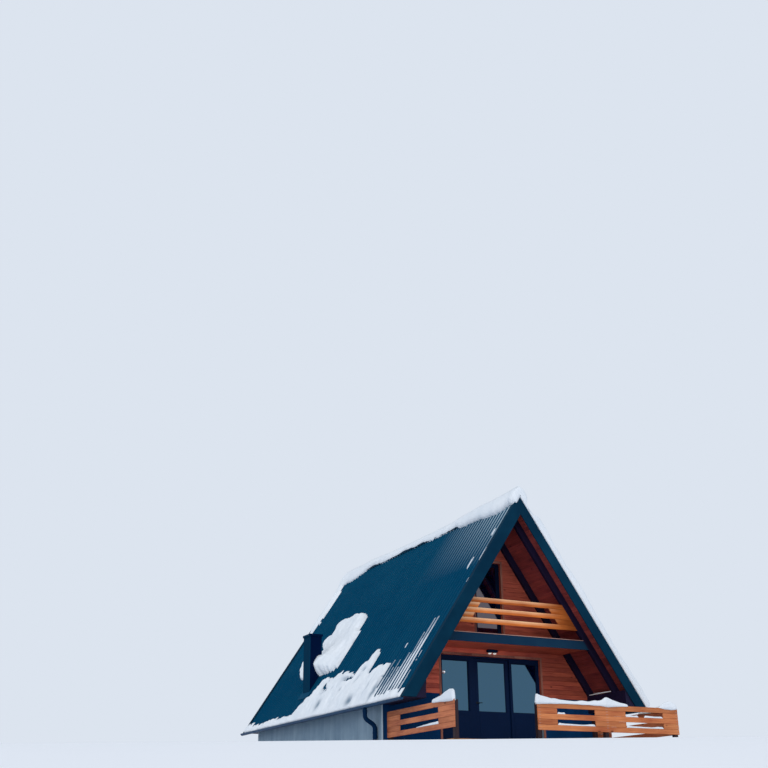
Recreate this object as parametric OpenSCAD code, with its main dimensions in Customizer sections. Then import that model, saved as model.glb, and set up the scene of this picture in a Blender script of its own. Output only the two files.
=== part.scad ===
// A-frame cabin: steep ribbed-metal roof on low rendered walls, with a boarded
// gable set back under the overhang, a balcony between the rafters and a railed
// terrace. Front faces -Y, +Z is up, the ground is z = 0, and the origin lies
// under the centre of the whole plan.

/* [Roof] */
// Height of the roof surface at the ridge, above the ground
ridge_h = 6090; // [5600:10:6600]
// Half width of the roof at the eave
eave_x = 3270; // [3050:10:3500]
// Height of the eave, where every roof layer is cut level
eave_z = 1240; // [1100:10:1400]
// Length of the roof between its two verges
roof_len = 10050; // [8500:50:12000]
// Height of a sheet rib
rib_h = 25; // [15:1:40]
// Distance between sheet ribs
rib_pitch = 155; // [120:5:300]
// Width of a rib at its top
rib_top = 24; // [16:1:50]
// Width of each sloping side of a rib
rib_side = 14; // [8:1:22]
// Thickness of the sheet under its pans
sheet_t = 10; // [6:1:16]
// Thickness of the boarded deck under the sheet
deck_t = 65; // [45:1:90]
// Depth of a rafter, square to the slope
rafter_d = 174; // [140:2:200]
// Width of a rafter
rafter_w = 90; // [70:5:120]
// Largest distance between rafter pairs indoors
rafter_pitch = 1150; // [800:50:1400]
// Thickness of the barge boards
barge_t = 30; // [20:1:45]
// Width of the barge flange that laps the sheet
flange_w = 130; // [80:5:180]
// Thickness of flashings
flash_t = 6; // [3:1:10]
// Width of each leg of the ridge cap
cap_leg = 190; // [120:10:260]

/* [Walls] */
// Distance of the gable wall behind the front verge
recess = 1535; // [1200:5:1700]
// Distance of the back wall inside the back verge
back_recess = 500; // [300:10:800]
// Half width of the house between the outer faces of its side walls
side_x = 2980; // [2900:5:3040]
// Thickness of the side walls
side_t = 300; // [240:10:340]
// Thickness of the gable walls
gable_t = 200; // [150:5:250]
// Height of the boarding's foot above the eave
plinth_over = 293; // [200:1:400]
// Height of the ground floor surface
floor_z = 320; // [310:1:380]
// Thickness of the ground floor
floor_t = 200; // [150:5:250]
// Height of the upper floor surface
upper_z = 2770; // [2700:5:2850]
// Thickness of the upper floor
upper_t = 170; // [140:5:220]

/* [Glazed door unit] */
// Offset of the doors from the middle of the gable
door_shift = -65; // [-150:5:150]
// Overall width of the door unit
unit_w = 2780; // [2600:10:2900]
// Height of the top of the door unit
unit_top = 2440; // [2380:5:2480]
// Depth of the frames, front to back
frame_d = 100; // [80:5:120]
// Distance of the frames behind the wall face
frame_set = 60; // [30:5:90]
// Offset of the door leaf from the middle of the unit
leaf_shift = 50; // [0:5:60]
// Width of the post at the lock side of the door leaf
mullion_w = 145; // [100:5:170]
// Width of the post at the hinge side of the door leaf
hinge_post_w = 45; // [45:5:120]
// Height of the head over the door leaf
head_h = 40; // [30:1:60]
// Height of the threshold
threshold_h = 25; // [15:1:40]
// Width of the outer frame of a side light
light_jamb = 60; // [45:1:80]
// Width of the inner frame of a side light
light_inner = 15; // [12:1:50]
// Height of the top of all lower glass
glass_top = 2334; // [2250:1:2340]
// Height where the solid lower panels end
panel_top = 1160; // [900:5:1300]
// Width of the door leaf
leaf_w = 960; // [900:5:1000]
// Thickness of the door leaf
leaf_t = 60; // [50:1:70]
// Width of a leaf stile
stile_w = 90; // [80:5:130]
// Clearance at the hinge edge, head and foot of the leaf
hinge_gap = 6; // [6:1:8]
// Clearance at the lock edge of the leaf
lock_gap = 8; // [8:1:12]
// Distance of the hinge pin behind the leaf's inner face
pin_out = 8; // [7:1:12]
// Thickness of the glass units
glass_t = 24; // [18:1:30]
// Height of the door handle
handle_z = 1370; // [1250:5:1450]
// Width of the trim round the doors
trim_w = 55; // [40:1:80]
// Thickness of the trim
trim_t = 20; // [12:1:30]

/* [Balcony] */
// Distance of the balcony front behind the front verge
balcony_set = 457; // [350:1:600]
// Thickness of the balcony fascia
fascia_t = 30; // [20:1:40]
// Height of the fascia board
fascia_h = 205; // [180:5:240]
// Height of the foot of the balcony rail
brail_z = 3010; // [2950:5:3100]
// Height of one balcony rail board
brail_board = 120; // [100:1:130]
// Horizontal width of the solid ends of the balcony rail
brail_end = 470; // [350:10:550]
// Width of the balcony door
bdoor_w = 750; // [700:10:850]
// Gap between the balcony door's trim and the rafters over it
bdoor_clear = 70; // [40:5:200]
// Height of the balcony door's step
bdoor_step = 20; // [10:1:40]
// Frame width of the balcony door and the back windows
sash_w = 70; // [50:1:90]

/* [Terrace] */
// Reach of the terrace in front of the front verge
terrace_out = 1482; // [1200:2:1700]
// Half width of the terrace over its rails
terrace_x = 2877; // [2700:1:2900]
// Height of the terrace boards
terrace_z = 300; // [260:5:310]
// Width of a terrace board
plank_w = 140; // [110:5:170]
// Gap between terrace boards
plank_gap = 6; // [3:1:10]
// Thickness of terrace boards
plank_t = 28; // [22:1:40]
// Width of terrace joists and bearers
joist_w = 60; // [45:5:80]
// Depth of the terrace joists
joist_d = 140; // [100:5:170]
// Height of the foot of the terrace rails
rail_z = 508; // [440:2:560]
// Height of one rail course
course_h = 112; // [100:1:120]
// Thickness of the rail boards
rail_t = 26; // [20:1:35]
// Width of the rail posts
post_w = 90; // [70:5:110]
// Left end of the front rail, beside the way in
rail_gap_x = -864; // [-1100:2:-700]
// First slot of the front rail: distance from its left end
slot_a = 494; // [400:2:600]
// Length of the first slot of the front rail
slot_a_len = 982; // [850:2:1050]
// Second slot of the front rail: distance from the first
slot_ab = 813; // [700:1:900]
// Length of the second slot of the front rail
slot_b_len = 1035; // [900:5:1100]
// Distance of the middle post of the front rail from the first slot
mid_post = 298; // [200:2:600]
// Side rail slot: distance from the front
slot_side = 660; // [500:10:800]
// Side rail slot: length
slot_side_len = 1750; // [1400:10:1900]

/* [Details] */
// Radius of the gutters
gutter_r = 52; // [45:1:70]
// Thickness of gutter and pipe walls
gutter_wall = 4; // [3:1:6]
// Radius of the downpipes
pipe_r = 50; // [40:1:60]
// Straight drop of the downpipes below the gutters
neck_drop = 225; // [150:5:240]
// Fall of the slanted part of the downpipes
neck_fall = 145; // [120:5:240]
// Distance of the downpipes behind the gable wall
pipe_back = 275; // [200:5:500]
// Width of the chimney across the roof
chimney_w = 340; // [300:10:450]
// Length of the chimney along the roof
chimney_l = 450; // [400:10:650]
// Height of the chimney top
chimney_top = 3560; // [3400:10:4200]
// Distance of the chimney from the ridge line
chimney_x = 2400; // [2000:10:2450]
// Distance of the chimney behind the front verge
chimney_y = 6400; // [5000:50:7500]
// Width of the twin lamp
lamp_w = 270; // [200:10:300]
// Height of the foot of the lamp hood
lamp_z = 2540; // [2520:5:2545]
// Width of the wall box
box_w = 270; // [200:10:320]
// Height of the wall box
box_h = 310; // [250:10:350]
// Depth of the wall box
box_d = 140; // [100:5:180]
// Distance of the wall box from the middle of the gable
box_x = 2060; // [1950:10:2100]
// Width of a back window
bwin_w = 1000; // [800:10:1200]
// Height of a back window
bwin_h = 720; // [600:10:800]
// Distance of the back windows from the middle
bwin_x = 1050; // [900:10:1150]

/* [Snow cover] */
// Depth of the settled snow on the right slope and over the ridge
snow_t = 140; // [100:5:200]
// Reach of the snow from the ridge down the left slope
snow_left = 280; // [220:10:600]
// Radius of the snow's upper edge at the verges
snow_round = 90; // [40:5:95]

/* [Hidden] */
$fn = 48;

// Clearance between pieces laid on the slope, and the saw cut between butted ones
fit = 0.3;
saw_gap = 0.5;

// Roof geometry
slope = atan2(ridge_h - eave_z, eave_x);
slope_len = norm([eave_x, ridge_h - eave_z]);
sheet_under = rib_h + sheet_t;
deck_top = sheet_under + fit;
deck_under = deck_top + deck_t;
rafter_under = deck_under + rafter_d;
function roof_z(x, depth) = ridge_h - depth / cos(slope) - x * tan(slope);
function roof_x(z, depth) = (ridge_h - depth / cos(slope) - z) / tan(slope);

// Plan positions along Y
front_y = (terrace_out - roof_len) / 2;
back_y = front_y + roof_len;
wall_y = front_y + recess;
wall_in = wall_y + gable_t;
rear_in = back_y - back_recess - gable_t;
rear_y = back_y - back_recess;
deck_y = front_y - terrace_out;
balcony_y = front_y + balcony_set;
frame_y = wall_y + frame_set;
side_in = side_x - side_t;
plinth_h = eave_z + plinth_over;

// Door unit positions along X
unit_l = door_shift - unit_w / 2;
unit_r = door_shift + unit_w / 2;
inner_w = leaf_w + lock_gap + hinge_gap;
door_mid = door_shift + leaf_shift;
door_l = door_mid - inner_w / 2;
door_r = door_mid + inner_w / 2;
leaf_l = door_l + lock_gap;
leaf_r = door_r - hinge_gap;
leaf_z = floor_z + threshold_h + hinge_gap;
leaf_top = unit_top - head_h - hinge_gap;
leaf_y = frame_y + frame_d - leaf_t;
pane_y = frame_y + (frame_d - glass_t) / 2;
leaf_pane_y = leaf_y + (leaf_t - glass_t) / 2;

// Balcony and upper glazing
bdoor_l = door_shift - bdoor_w / 2;
bdoor_r = door_shift + bdoor_w / 2;
bdoor_z = upper_z + bdoor_step;
bdoor_corner = abs(door_shift) + bdoor_w / 2 + trim_w;
bdoor_h = roof_z(bdoor_corner, rafter_under) - bdoor_clear - trim_w - bdoor_z;
bwin_z = plinth_h + 60;
attic_z = upper_z + 850;
attic_w = bdoor_w;
attic_h = 950;

// Rails
rail_top = rail_z + 5 * course_h;
slot_lo = rail_z + course_h;
slot_hi = rail_z + 3 * course_h;
terrace_back = wall_y;
brail_top = brail_z + 5 * brail_board;

// A flat outline in X and Z, pushed back along Y from y0
module along_y(y0, len) {
    translate([0, y0 + len, 0])
        rotate([90, 0, 0])
            linear_extrude(len)
                children();
}

// A flat outline in Y and Z, pushed along X from x0
module along_x(x0, len) {
    translate([x0, 0, 0])
        rotate([90, 0, 90])
            linear_extrude(len)
                children();
}

// Right-hand roof layer between two depths under the sheet ribs, with a plumb
// cut at the ridge that leaves a saw gap between the two slopes
module layer(d1, d2, x0 = saw_gap) {
    polygon([[x0, roof_z(x0, d1)], [roof_x(eave_z, d1), eave_z],
             [roof_x(eave_z, d2), eave_z], [x0, roof_z(x0, d2)]]);
}

module both_sides() {
    children();
    mirror([1, 0, 0]) children();
}

// Everything under a roof depth, between two heights
module under_roof(depth, z0, z1) {
    polygon([[-roof_x(z0, depth), z0], [roof_x(z0, depth), z0],
             [roof_x(z1, depth), z1], [-roof_x(z1, depth), z1]]);
}

module box_xz(x0, x1, z0, z1) {
    translate([x0, z0]) square([x1 - x0, z1 - z0]);
}

// Ribbed sheet: pan, rib, pan across the slope, as [y, height] points
rib_foot = rib_top + 2 * rib_side;
sheet_y0 = front_y + barge_t;
sheet_y1 = back_y - barge_t;
rib_count = floor((sheet_y1 - sheet_y0 - rib_foot) / rib_pitch) + 1;
rib_first = (sheet_y0 + sheet_y1) / 2 - (rib_count - 1) * rib_pitch / 2;
sheet_points = concat(
    [[sheet_y0, -sheet_under], [sheet_y0, -rib_h]],
    [for (i = [0:rib_count - 1])
        for (p = [[-rib_foot / 2, -rib_h], [-rib_top / 2, 0], [rib_top / 2, 0], [rib_foot / 2, -rib_h]])
            [rib_first + i * rib_pitch + p[0], p[1]]],
    [[sheet_y1, -rib_h], [sheet_y1, -sheet_under]]);
ridge_start = sheet_under * tan(slope) + 1;

module sheet() {
    translate([0, 0, ridge_h])
        rotate([0, 90 + slope, 0])
            rotate([0, 0, 90])
                translate([0, 0, ridge_start])
                    linear_extrude(slope_len - ridge_start)
                        polygon(sheet_points);
}

module roof_sheet_right() {
    color("darkslategray") sheet();
}

module roof_sheet_left() {
    color("darkslategray") mirror([1, 0, 0]) sheet();
}

module roof_deck_right() {
    color("sienna") along_y(sheet_y0, sheet_y1 - sheet_y0) layer(deck_top, deck_under);
}

module roof_deck_left() {
    color("sienna") mirror([1, 0, 0]) along_y(sheet_y0, sheet_y1 - sheet_y0) layer(deck_top, deck_under);
}

// Pairs at the balcony front, on both faces of the gables, and evenly indoors
indoor = rear_in - wall_in;
bays = ceil((indoor - rafter_w) / rafter_pitch);
rafter_ys = concat([balcony_y, wall_y - rafter_w],
                   [for (i = [0:bays]) wall_in + i * (indoor - rafter_w) / bays],
                   [rear_y]);

module rafters() {
    color("saddlebrown")
        for (y = rafter_ys)
            along_y(y, rafter_w)
                both_sides() layer(deck_under, rafter_under);
}

// Plates along the eaves that carry the rafter feet
module beam_section() {
    polygon([[side_in, eave_z], [roof_x(eave_z, rafter_under), eave_z],
             [side_in, roof_z(side_in, rafter_under)]]);
}

module eave_beams() {
    color("saddlebrown")
        both_sides() {
            along_y(front_y + barge_t, recess - barge_t) beam_section();
            along_y(wall_in, indoor) beam_section();
            along_y(rear_y, back_recess - barge_t) beam_section();
        }
}

// Boards that close the underside of the eaves, wider under the overhangs
soffit_t = 12;
soffit_in = 45;
soffit_x = roof_x(eave_z, deck_top) - soffit_in;

module eave_soffit() {
    y0 = front_y + barge_t;
    y1 = back_y - barge_t;
    translate([0, 0, eave_z - soffit_t])
        linear_extrude(soffit_t)
            polygon([[side_in, y0], [soffit_x, y0], [soffit_x, y1], [side_in, y1],
                     [side_in, rear_y], [side_x, rear_y], [side_x, wall_y], [side_in, wall_y]]);
}

module eave_soffits() {
    color("saddlebrown") both_sides() eave_soffit();
}

module barge() {
    along_y(0, barge_t) both_sides() layer(0, rafter_under);
    along_y(0, flange_w) both_sides() layer(-flash_t, 0);
}

module barge_front() {
    color("darkslategray") translate([0, front_y, 0]) barge();
}

module barge_back() {
    color("darkslategray") translate([0, back_y, 0]) mirror([0, 1, 0]) barge();
}

cap_foot = ridge_h - cap_leg * sin(slope);

module ridge_cap() {
    color("darkslategray")
        along_y(front_y, roof_len)
            both_sides()
                intersection() {
                    layer(-2 * flash_t - fit, -flash_t - fit, 0);
                    translate([0, cap_foot]) square([cap_leg, cap_leg * 2]);
                }
}

// A point at a distance down the right-hand slope and a height over the ribs
function on_slope(down, over) =
    [down * cos(slope) + over * sin(slope), ridge_h - down * sin(slope) + over * cos(slope)];

// Round lip of the snow that ends at a distance down the slope, from its top to its foot
snow_turn = 15;
function snow_lip(reach) =
    [for (a = [0:snow_turn:90]) on_slope(reach - snow_t + snow_t * sin(a), snow_t * cos(a))];
function mirrored(points) = [for (i = [len(points) - 1:-1:0]) [-points[i][0], points[i][1]]];

// The snow turns over the ridge, lies on the flashings and is hollowed for the ridge cap
module snow_section() {
    bed = -flash_t - fit;
    cap_bed = 2 * bed;
    crest = [for (i = [1:7]) let(a = slope * (i - 4) / 4) [snow_t * sin(a), ridge_h + snow_t * cos(a)]];
    difference() {
        polygon(concat(mirrored(snow_lip(snow_left)), crest, snow_lip(slope_len), [[0, ridge_h]]));
        under_roof(bed, 0, roof_z(0, bed));
        under_roof(cap_bed, cap_foot - fit, roof_z(0, cap_bed));
    }
}

// Length of the snow between the verges with its upper edges rounded, as y and height over the ribs
module snow_side() {
    half = roof_len / 2 - snow_round;
    shoulder = snow_t - snow_round;
    turns = [for (a = [0:snow_turn:90]) [half + snow_round * cos(a), shoulder + snow_round * sin(a)]];
    foot = [half + snow_round, -ridge_h];
    translate([front_y + roof_len / 2, 0]) polygon(concat([foot], turns, mirrored(concat([foot], turns))));
}

// Everything under the rounded snow edge of the right-hand slope
module snow_verges() {
    translate([0, 0, ridge_h])
        rotate([0, 90 + slope, 0])
            rotate([0, 0, 90])
                translate([0, 0, -slope_len])
                    linear_extrude(2 * slope_len)
                        snow_side();
}

module roof_snow() {
    color("white")
        intersection() {
            along_y(front_y, roof_len) snow_section();
            snow_verges();
            mirror([1, 0, 0]) snow_verges();
        }
}

module foundation_left() {
    color("slategray") translate([-side_x, wall_in, 0]) cube([side_t, indoor, eave_z]);
}

module foundation_right() {
    color("slategray") translate([side_in, wall_in, 0]) cube([side_t, indoor, eave_z]);
}

// Gable outline between two heights, as wide as the house and trimmed by the roof
module gable_shape(z0, z1) {
    intersection() {
        box_xz(-side_x, side_x, z0, z1);
        under_roof(deck_under + fit, z0, z1);
    }
}

module front_plinth_left() {
    color("dimgray")
        along_y(wall_y, gable_t)
            intersection() {
                gable_shape(0, plinth_h);
                box_xz(-side_x, unit_l, 0, plinth_h);
            }
}

module front_plinth_right() {
    color("dimgray")
        along_y(wall_y, gable_t)
            intersection() {
                gable_shape(0, plinth_h);
                box_xz(unit_r, side_x, 0, plinth_h);
            }
}

module door_sill() {
    color("dimgray") translate([unit_l, wall_y, 0]) cube([unit_w, gable_t, floor_z]);
}

module back_plinth() {
    color("dimgray") along_y(rear_in, gable_t) gable_shape(0, plinth_h);
}

gable_top = roof_z(0, deck_under + fit);

module front_wall_left() {
    color("chocolate")
        along_y(wall_y, gable_t)
            intersection() {
                gable_shape(plinth_h, unit_top);
                box_xz(-side_x, unit_l, plinth_h, unit_top);
            }
}

module front_wall_right() {
    color("chocolate")
        along_y(wall_y, gable_t)
            intersection() {
                gable_shape(plinth_h, unit_top);
                box_xz(unit_r, side_x, plinth_h, unit_top);
            }
}

module bdoor_hole() {
    box_xz(bdoor_l, bdoor_r, bdoor_z, bdoor_z + bdoor_h);
}

module front_wall_upper() {
    color("chocolate")
        along_y(wall_y, gable_t)
            difference() {
                under_roof(deck_under + fit, unit_top, gable_top);
                bdoor_hole();
            }
}

module back_holes() {
    for (x = [-bwin_x, bwin_x])
        box_xz(x - bwin_w / 2, x + bwin_w / 2, bwin_z, bwin_z + bwin_h);
    box_xz(-attic_w / 2, attic_w / 2, attic_z, attic_z + attic_h);
}

module back_wall() {
    color("chocolate")
        along_y(rear_in, gable_t)
            difference() {
                gable_shape(plinth_h, gable_top);
                back_holes();
            }
}

module ground_floor() {
    color("burlywood")
        translate([-side_in, wall_in, floor_z - floor_t])
            cube([2 * side_in, indoor, floor_t]);
}

module upper_floor() {
    color("burlywood")
        along_y(wall_in, indoor)
            under_roof(rafter_under + fit, upper_z - upper_t, upper_z);
}

module balcony_floor() {
    color("chocolate")
        along_y(balcony_y + fascia_t, wall_y - balcony_y - fascia_t)
            under_roof(rafter_under + fit, upper_z - upper_t, upper_z);
}

module balcony_fascia() {
    color("darkslategray")
        along_y(balcony_y, fascia_t)
            under_roof(rafter_under + fit, upper_z + 10 - fascia_h, upper_z + 10);
}

// Boards between the front rafters, with two slots that end in slanted solid plates
module balcony_rail() {
    color("peru")
        along_y(balcony_y, rail_t)
            difference() {
                under_roof(rafter_under + fit, brail_z, brail_top);
                for (k = [1, 3]) {
                    z0 = brail_z + k * brail_board;
                    z1 = z0 + brail_board;
                    polygon([[-roof_x(z0, rafter_under) + brail_end, z0],
                             [roof_x(z0, rafter_under) - brail_end, z0],
                             [roof_x(z1, rafter_under) - brail_end, z1],
                             [-roof_x(z1, rafter_under) + brail_end, z1]]);
                }
            }
}

// The opening of a rectangular frame, and the frame itself, in X and Z
module pane_hole(x0, x1, z0, z1, side) {
    box_xz(x0 + side, x1 - side, z0 + side, z1 - side);
}

module pane_frame(x0, x1, z0, z1, side) {
    difference() {
        box_xz(x0, x1, z0, z1);
        pane_hole(x0, x1, z0, z1, side);
    }
}

module balcony_door_frame() {
    color("midnightblue")
        along_y(frame_y, frame_d)
            pane_frame(bdoor_l, bdoor_r, bdoor_z, bdoor_z + bdoor_h, sash_w);
}

// Two uprights and a head board, butt-jointed with a saw gap
module trim_boards(x0, x1, z0, z1) {
    box_xz(x0 - trim_w, x0, z0, z1 - saw_gap);
    box_xz(x1, x1 + trim_w, z0, z1 - saw_gap);
    box_xz(x0 - trim_w, x1 + trim_w, z1, z1 + trim_w);
}

module door_trims() {
    color("chocolate")
        along_y(wall_y - trim_t, trim_t) {
            trim_boards(unit_l, unit_r, terrace_z, unit_top);
            trim_boards(bdoor_l, bdoor_r, upper_z, bdoor_z + bdoor_h);
        }
}

module back_window_frames() {
    color("midnightblue")
        along_y(rear_in + frame_set, frame_d) {
            for (x = [-bwin_x, bwin_x])
                pane_frame(x - bwin_w / 2, x + bwin_w / 2, bwin_z, bwin_z + bwin_h, sash_w);
            pane_frame(-attic_w / 2, attic_w / 2, attic_z, attic_z + attic_h, sash_w);
        }
}

module upper_glass() {
    color("lightsteelblue") {
        along_y(pane_y, glass_t)
            pane_hole(bdoor_l, bdoor_r, bdoor_z, bdoor_z + bdoor_h, sash_w);
        along_y(rear_in + frame_set + (frame_d - glass_t) / 2, glass_t) {
            for (x = [-bwin_x, bwin_x])
                pane_hole(x - bwin_w / 2, x + bwin_w / 2, bwin_z, bwin_z + bwin_h, sash_w);
            pane_hole(-attic_w / 2, attic_w / 2, attic_z, attic_z + attic_h, sash_w);
        }
    }
}

module door_frame() {
    color("midnightblue")
        along_y(frame_y, frame_d)
            difference() {
                box_xz(door_l - mullion_w, door_r + hinge_post_w, floor_z, unit_top);
                box_xz(door_l, door_r, floor_z + threshold_h, unit_top - head_h);
            }
}

light_ll = unit_l + light_jamb;
light_lr = door_l - mullion_w - light_inner;
light_rl = door_r + hinge_post_w + light_inner;
light_rr = unit_r - light_jamb;

module side_lights() {
    color("midnightblue")
        along_y(frame_y, frame_d)
            difference() {
                union() {
                    box_xz(unit_l, door_l - mullion_w, floor_z, unit_top);
                    box_xz(door_r + hinge_post_w, unit_r, floor_z, unit_top);
                }
                box_xz(light_ll, light_lr, panel_top, glass_top);
                box_xz(light_rl, light_rr, panel_top, glass_top);
            }
}

module side_light_glass() {
    color("lightsteelblue")
        along_y(pane_y, glass_t) {
            box_xz(light_ll, light_lr, panel_top, glass_top);
            box_xz(light_rl, light_rr, panel_top, glass_top);
        }
}

// Hinges on the inner face: a knuckle on the frame below one on the leaf
knuckle_r = pin_out - 0.5;
knuckle_h = 45;
knuckle_gap = 0.3;
hinge_plate = 32;
hinge_plate_t = 3;
hinge_zs = [leaf_z + 180, (leaf_z + leaf_top) / 2, leaf_top - 270];
leaf_in = leaf_y + leaf_t;

module door_hinges() {
    color("silver")
        for (z = hinge_zs) {
            translate([leaf_r, leaf_in + pin_out, z])
                cylinder(r = knuckle_r, h = knuckle_h);
            translate([leaf_r + 3, leaf_in, z])
                cube([hinge_gap - 3 + hinge_plate, hinge_plate_t, knuckle_h]);
        }
}

module door_leaf() {
    color("midnightblue") {
        along_y(leaf_y, leaf_t)
            difference() {
                box_xz(leaf_l, leaf_r, leaf_z, leaf_top);
                box_xz(leaf_l + stile_w, leaf_r - stile_w, panel_top, glass_top);
            }
        for (z = hinge_zs) {
            translate([leaf_r, leaf_in + pin_out, z + knuckle_h + knuckle_gap])
                cylinder(r = knuckle_r, h = knuckle_h);
            translate([leaf_r - 3 - hinge_plate, leaf_in, z + knuckle_h + knuckle_gap])
                cube([hinge_plate, hinge_plate_t, knuckle_h]);
        }
    }
}

module door_glass() {
    color("lightsteelblue")
        along_y(leaf_pane_y, glass_t)
            box_xz(leaf_l + stile_w, leaf_r - stile_w, panel_top, glass_top);
}

// Lever and rose on each face, over the lock stile
lever_r = 9;
lever_len = 125;
lever_out = 45;
rose_r = 24;
rose_t = 8;
handle_x = leaf_l + stile_w / 2;

module lever() {
    rotate([90, 0, 0]) {
        cylinder(r = rose_r, h = rose_t);
        cylinder(r = lever_r, h = lever_out);
    }
    translate([0, -lever_out, 0])
        rotate([0, 90, 0])
            cylinder(r = lever_r, h = lever_len);
    translate([0, -lever_out, 0])
        sphere(r = lever_r);
}

module door_handle() {
    color("silver") {
        translate([handle_x, leaf_y, handle_z]) lever();
        translate([handle_x, leaf_y + leaf_t, handle_z]) mirror([0, 1, 0]) lever();
    }
}

// Half-round gutter hung under the drip edge
gutter_x = eave_x + 25;
gutter_top = eave_z - 25;
hook_x = roof_x(eave_z, deck_top) - 15;
hook_w = 30;
hook_pitch = 900;
hook_in = 200;
hook_count = floor((roof_len - 2 * hook_in) / hook_pitch);
hook_ys = [for (i = [0:hook_count]) front_y + hook_in + i * (roof_len - 2 * hook_in) / hook_count];

module lower_half() {
    intersection() {
        children();
        translate([-2 * gutter_r, -2 * gutter_r]) square([4 * gutter_r, 2 * gutter_r]);
    }
}

module gutter() {
    along_y(front_y, roof_len)
        translate([gutter_x, gutter_top])
            lower_half()
                difference() {
                    circle(r = gutter_r);
                    circle(r = gutter_r - gutter_wall);
                }
    // Stop ends
    for (y = [front_y, back_y - gutter_wall])
        along_y(y, gutter_wall)
            translate([gutter_x, gutter_top])
                lower_half() circle(r = gutter_r);
    // Hooks from the inner rim up to the cut end of the roof deck
    for (y = hook_ys)
        along_y(y, hook_w)
            polygon([[gutter_x - gutter_r, gutter_top - 1], [hook_x, eave_z],
                     [hook_x - 20, eave_z], [gutter_x - gutter_r, gutter_top - 15]]);
}

module gutters() {
    color("darkslategray") both_sides() gutter();
}

// Swan-neck downpipe: outlet, slanted offset back to the wall, straight drop
pipe_y = wall_y + pipe_back;
pipe_x = side_x + pipe_r + 15;
neck_top = gutter_top - gutter_r - neck_drop;
neck_low = neck_top - neck_fall;
socket_r = pipe_r + 5;
pipe_foot = 60;
clip_w = 24;

module downpipe() {
    // Outlet, shaped to the underside of the gutter
    difference() {
        translate([gutter_x, pipe_y, neck_top])
            cylinder(r = pipe_r, h = gutter_top - 10 - neck_top);
        along_y(pipe_y - 2 * pipe_r, 4 * pipe_r)
            translate([gutter_x, gutter_top]) circle(r = gutter_r);
    }
    translate([gutter_x, pipe_y, neck_top])
        sphere(r = socket_r);
    translate([gutter_x, pipe_y, neck_top])
        rotate([0, 180 + atan2(gutter_x - pipe_x, neck_top - neck_low), 0])
            cylinder(r = pipe_r, h = norm([gutter_x - pipe_x, neck_top - neck_low]));
    translate([pipe_x, pipe_y, neck_low])
        sphere(r = socket_r);
    translate([pipe_x, pipe_y, pipe_foot])
        cylinder(r = pipe_r, h = neck_low - pipe_foot);
    // Wall clips
    for (z = [pipe_foot + 140, neck_low - 160])
        translate([side_x, pipe_y - clip_w / 2, z])
            cube([pipe_x - side_x, clip_w, clip_w]);
}

module downpipes() {
    color("darkslategray") both_sides() downpipe();
}

// Clad chimney that stands on the left slope, with a lip and a hooded flue
lip = 25;
lip_h = 60;

module chimney_plan(grow) {
    translate([-chimney_x - chimney_w - grow, front_y + chimney_y - grow])
        square([chimney_w + 2 * grow, chimney_l + 2 * grow]);
}

module chimney() {
    color("darkslategray")
        difference() {
            union() {
                linear_extrude(chimney_top) chimney_plan(0);
                translate([0, 0, chimney_top - lip_h])
                    linear_extrude(lip_h) chimney_plan(lip);
            }
            along_y(front_y, roof_len)
                polygon([[0, 0], [0, ridge_h], [-eave_x, eave_z], [-eave_x, 0]]);
        }
}

// Terrace boards across the front, joists front to back, bearers on the ground
plank_step = plank_w + plank_gap;
terrace_deep = terrace_back - deck_y - rail_t;
plank_count = floor((terrace_deep + plank_gap) / plank_step);
plank_y0 = terrace_back - plank_count * plank_step + plank_gap;
boards_x = terrace_x - rail_t;

module terrace_boards() {
    color("peru")
        for (i = [0:plank_count - 1])
            translate([-boards_x, plank_y0 + i * plank_step, terrace_z - plank_t])
                cube([2 * boards_x, plank_w, plank_t]);
}

joist_count = 9;
bearer_count = 4;
bearer_in = 50;
joist_z = terrace_z - plank_t - joist_d;

module terrace_joists() {
    color("saddlebrown")
        for (i = [0:joist_count - 1])
            translate([-boards_x + i * (2 * boards_x - joist_w) / (joist_count - 1), plank_y0, joist_z])
                cube([joist_w, terrace_back - plank_y0, joist_d]);
}

module terrace_bearers() {
    run = terrace_back - plank_y0 - 2 * bearer_in - joist_w;
    color("saddlebrown")
        for (i = [0:bearer_count - 1])
            translate([-boards_x, plank_y0 + bearer_in + i * run / (bearer_count - 1), 0])
                cube([2 * boards_x, joist_w, joist_z]);
}

// Five courses of boards; the second and fourth are slotted
module rail_front() {
    b0 = rail_gap_x + slot_a;
    b1 = b0 + slot_a_len + slot_ab;
    color("peru")
        along_y(deck_y, rail_t)
            difference() {
                box_xz(rail_gap_x, terrace_x, rail_z, rail_top);
                for (z = [slot_lo, slot_hi]) {
                    box_xz(b0, b0 + slot_a_len, z, z + course_h);
                    box_xz(b1, b1 + slot_b_len, z, z + course_h);
                }
            }
}

module side_rail() {
    s0 = deck_y + slot_side;
    along_x(-terrace_x, rail_t)
        difference() {
            box_xz(deck_y, wall_y, rail_z, rail_top);
            for (z = [slot_lo, slot_hi])
                box_xz(s0, s0 + slot_side_len, z, z + course_h);
        }
}

module rail_left() {
    color("peru") side_rail();
}

module rail_right() {
    color("peru")
        difference() {
            mirror([1, 0, 0]) side_rail();
            translate([0, deck_y, 0]) cube([2 * terrace_x, rail_t, 2 * rail_top]);
        }
}

// Posts stand on the boards behind the rails
post_h = rail_top - terrace_z - 20;
front_posts = [-terrace_x + rail_t, rail_gap_x, rail_gap_x + slot_a + slot_a_len + mid_post - post_w / 2,
               terrace_x - rail_t - post_w];
back_posts = [-terrace_x + rail_t, terrace_x - rail_t - post_w];

module rail_posts() {
    color("saddlebrown") {
        for (x = front_posts)
            translate([x, deck_y + rail_t, terrace_z]) cube([post_w, post_w, post_h]);
        for (x = back_posts)
            translate([x, wall_y - post_w, terrace_z]) cube([post_w, post_w, post_h]);
    }
}

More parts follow.
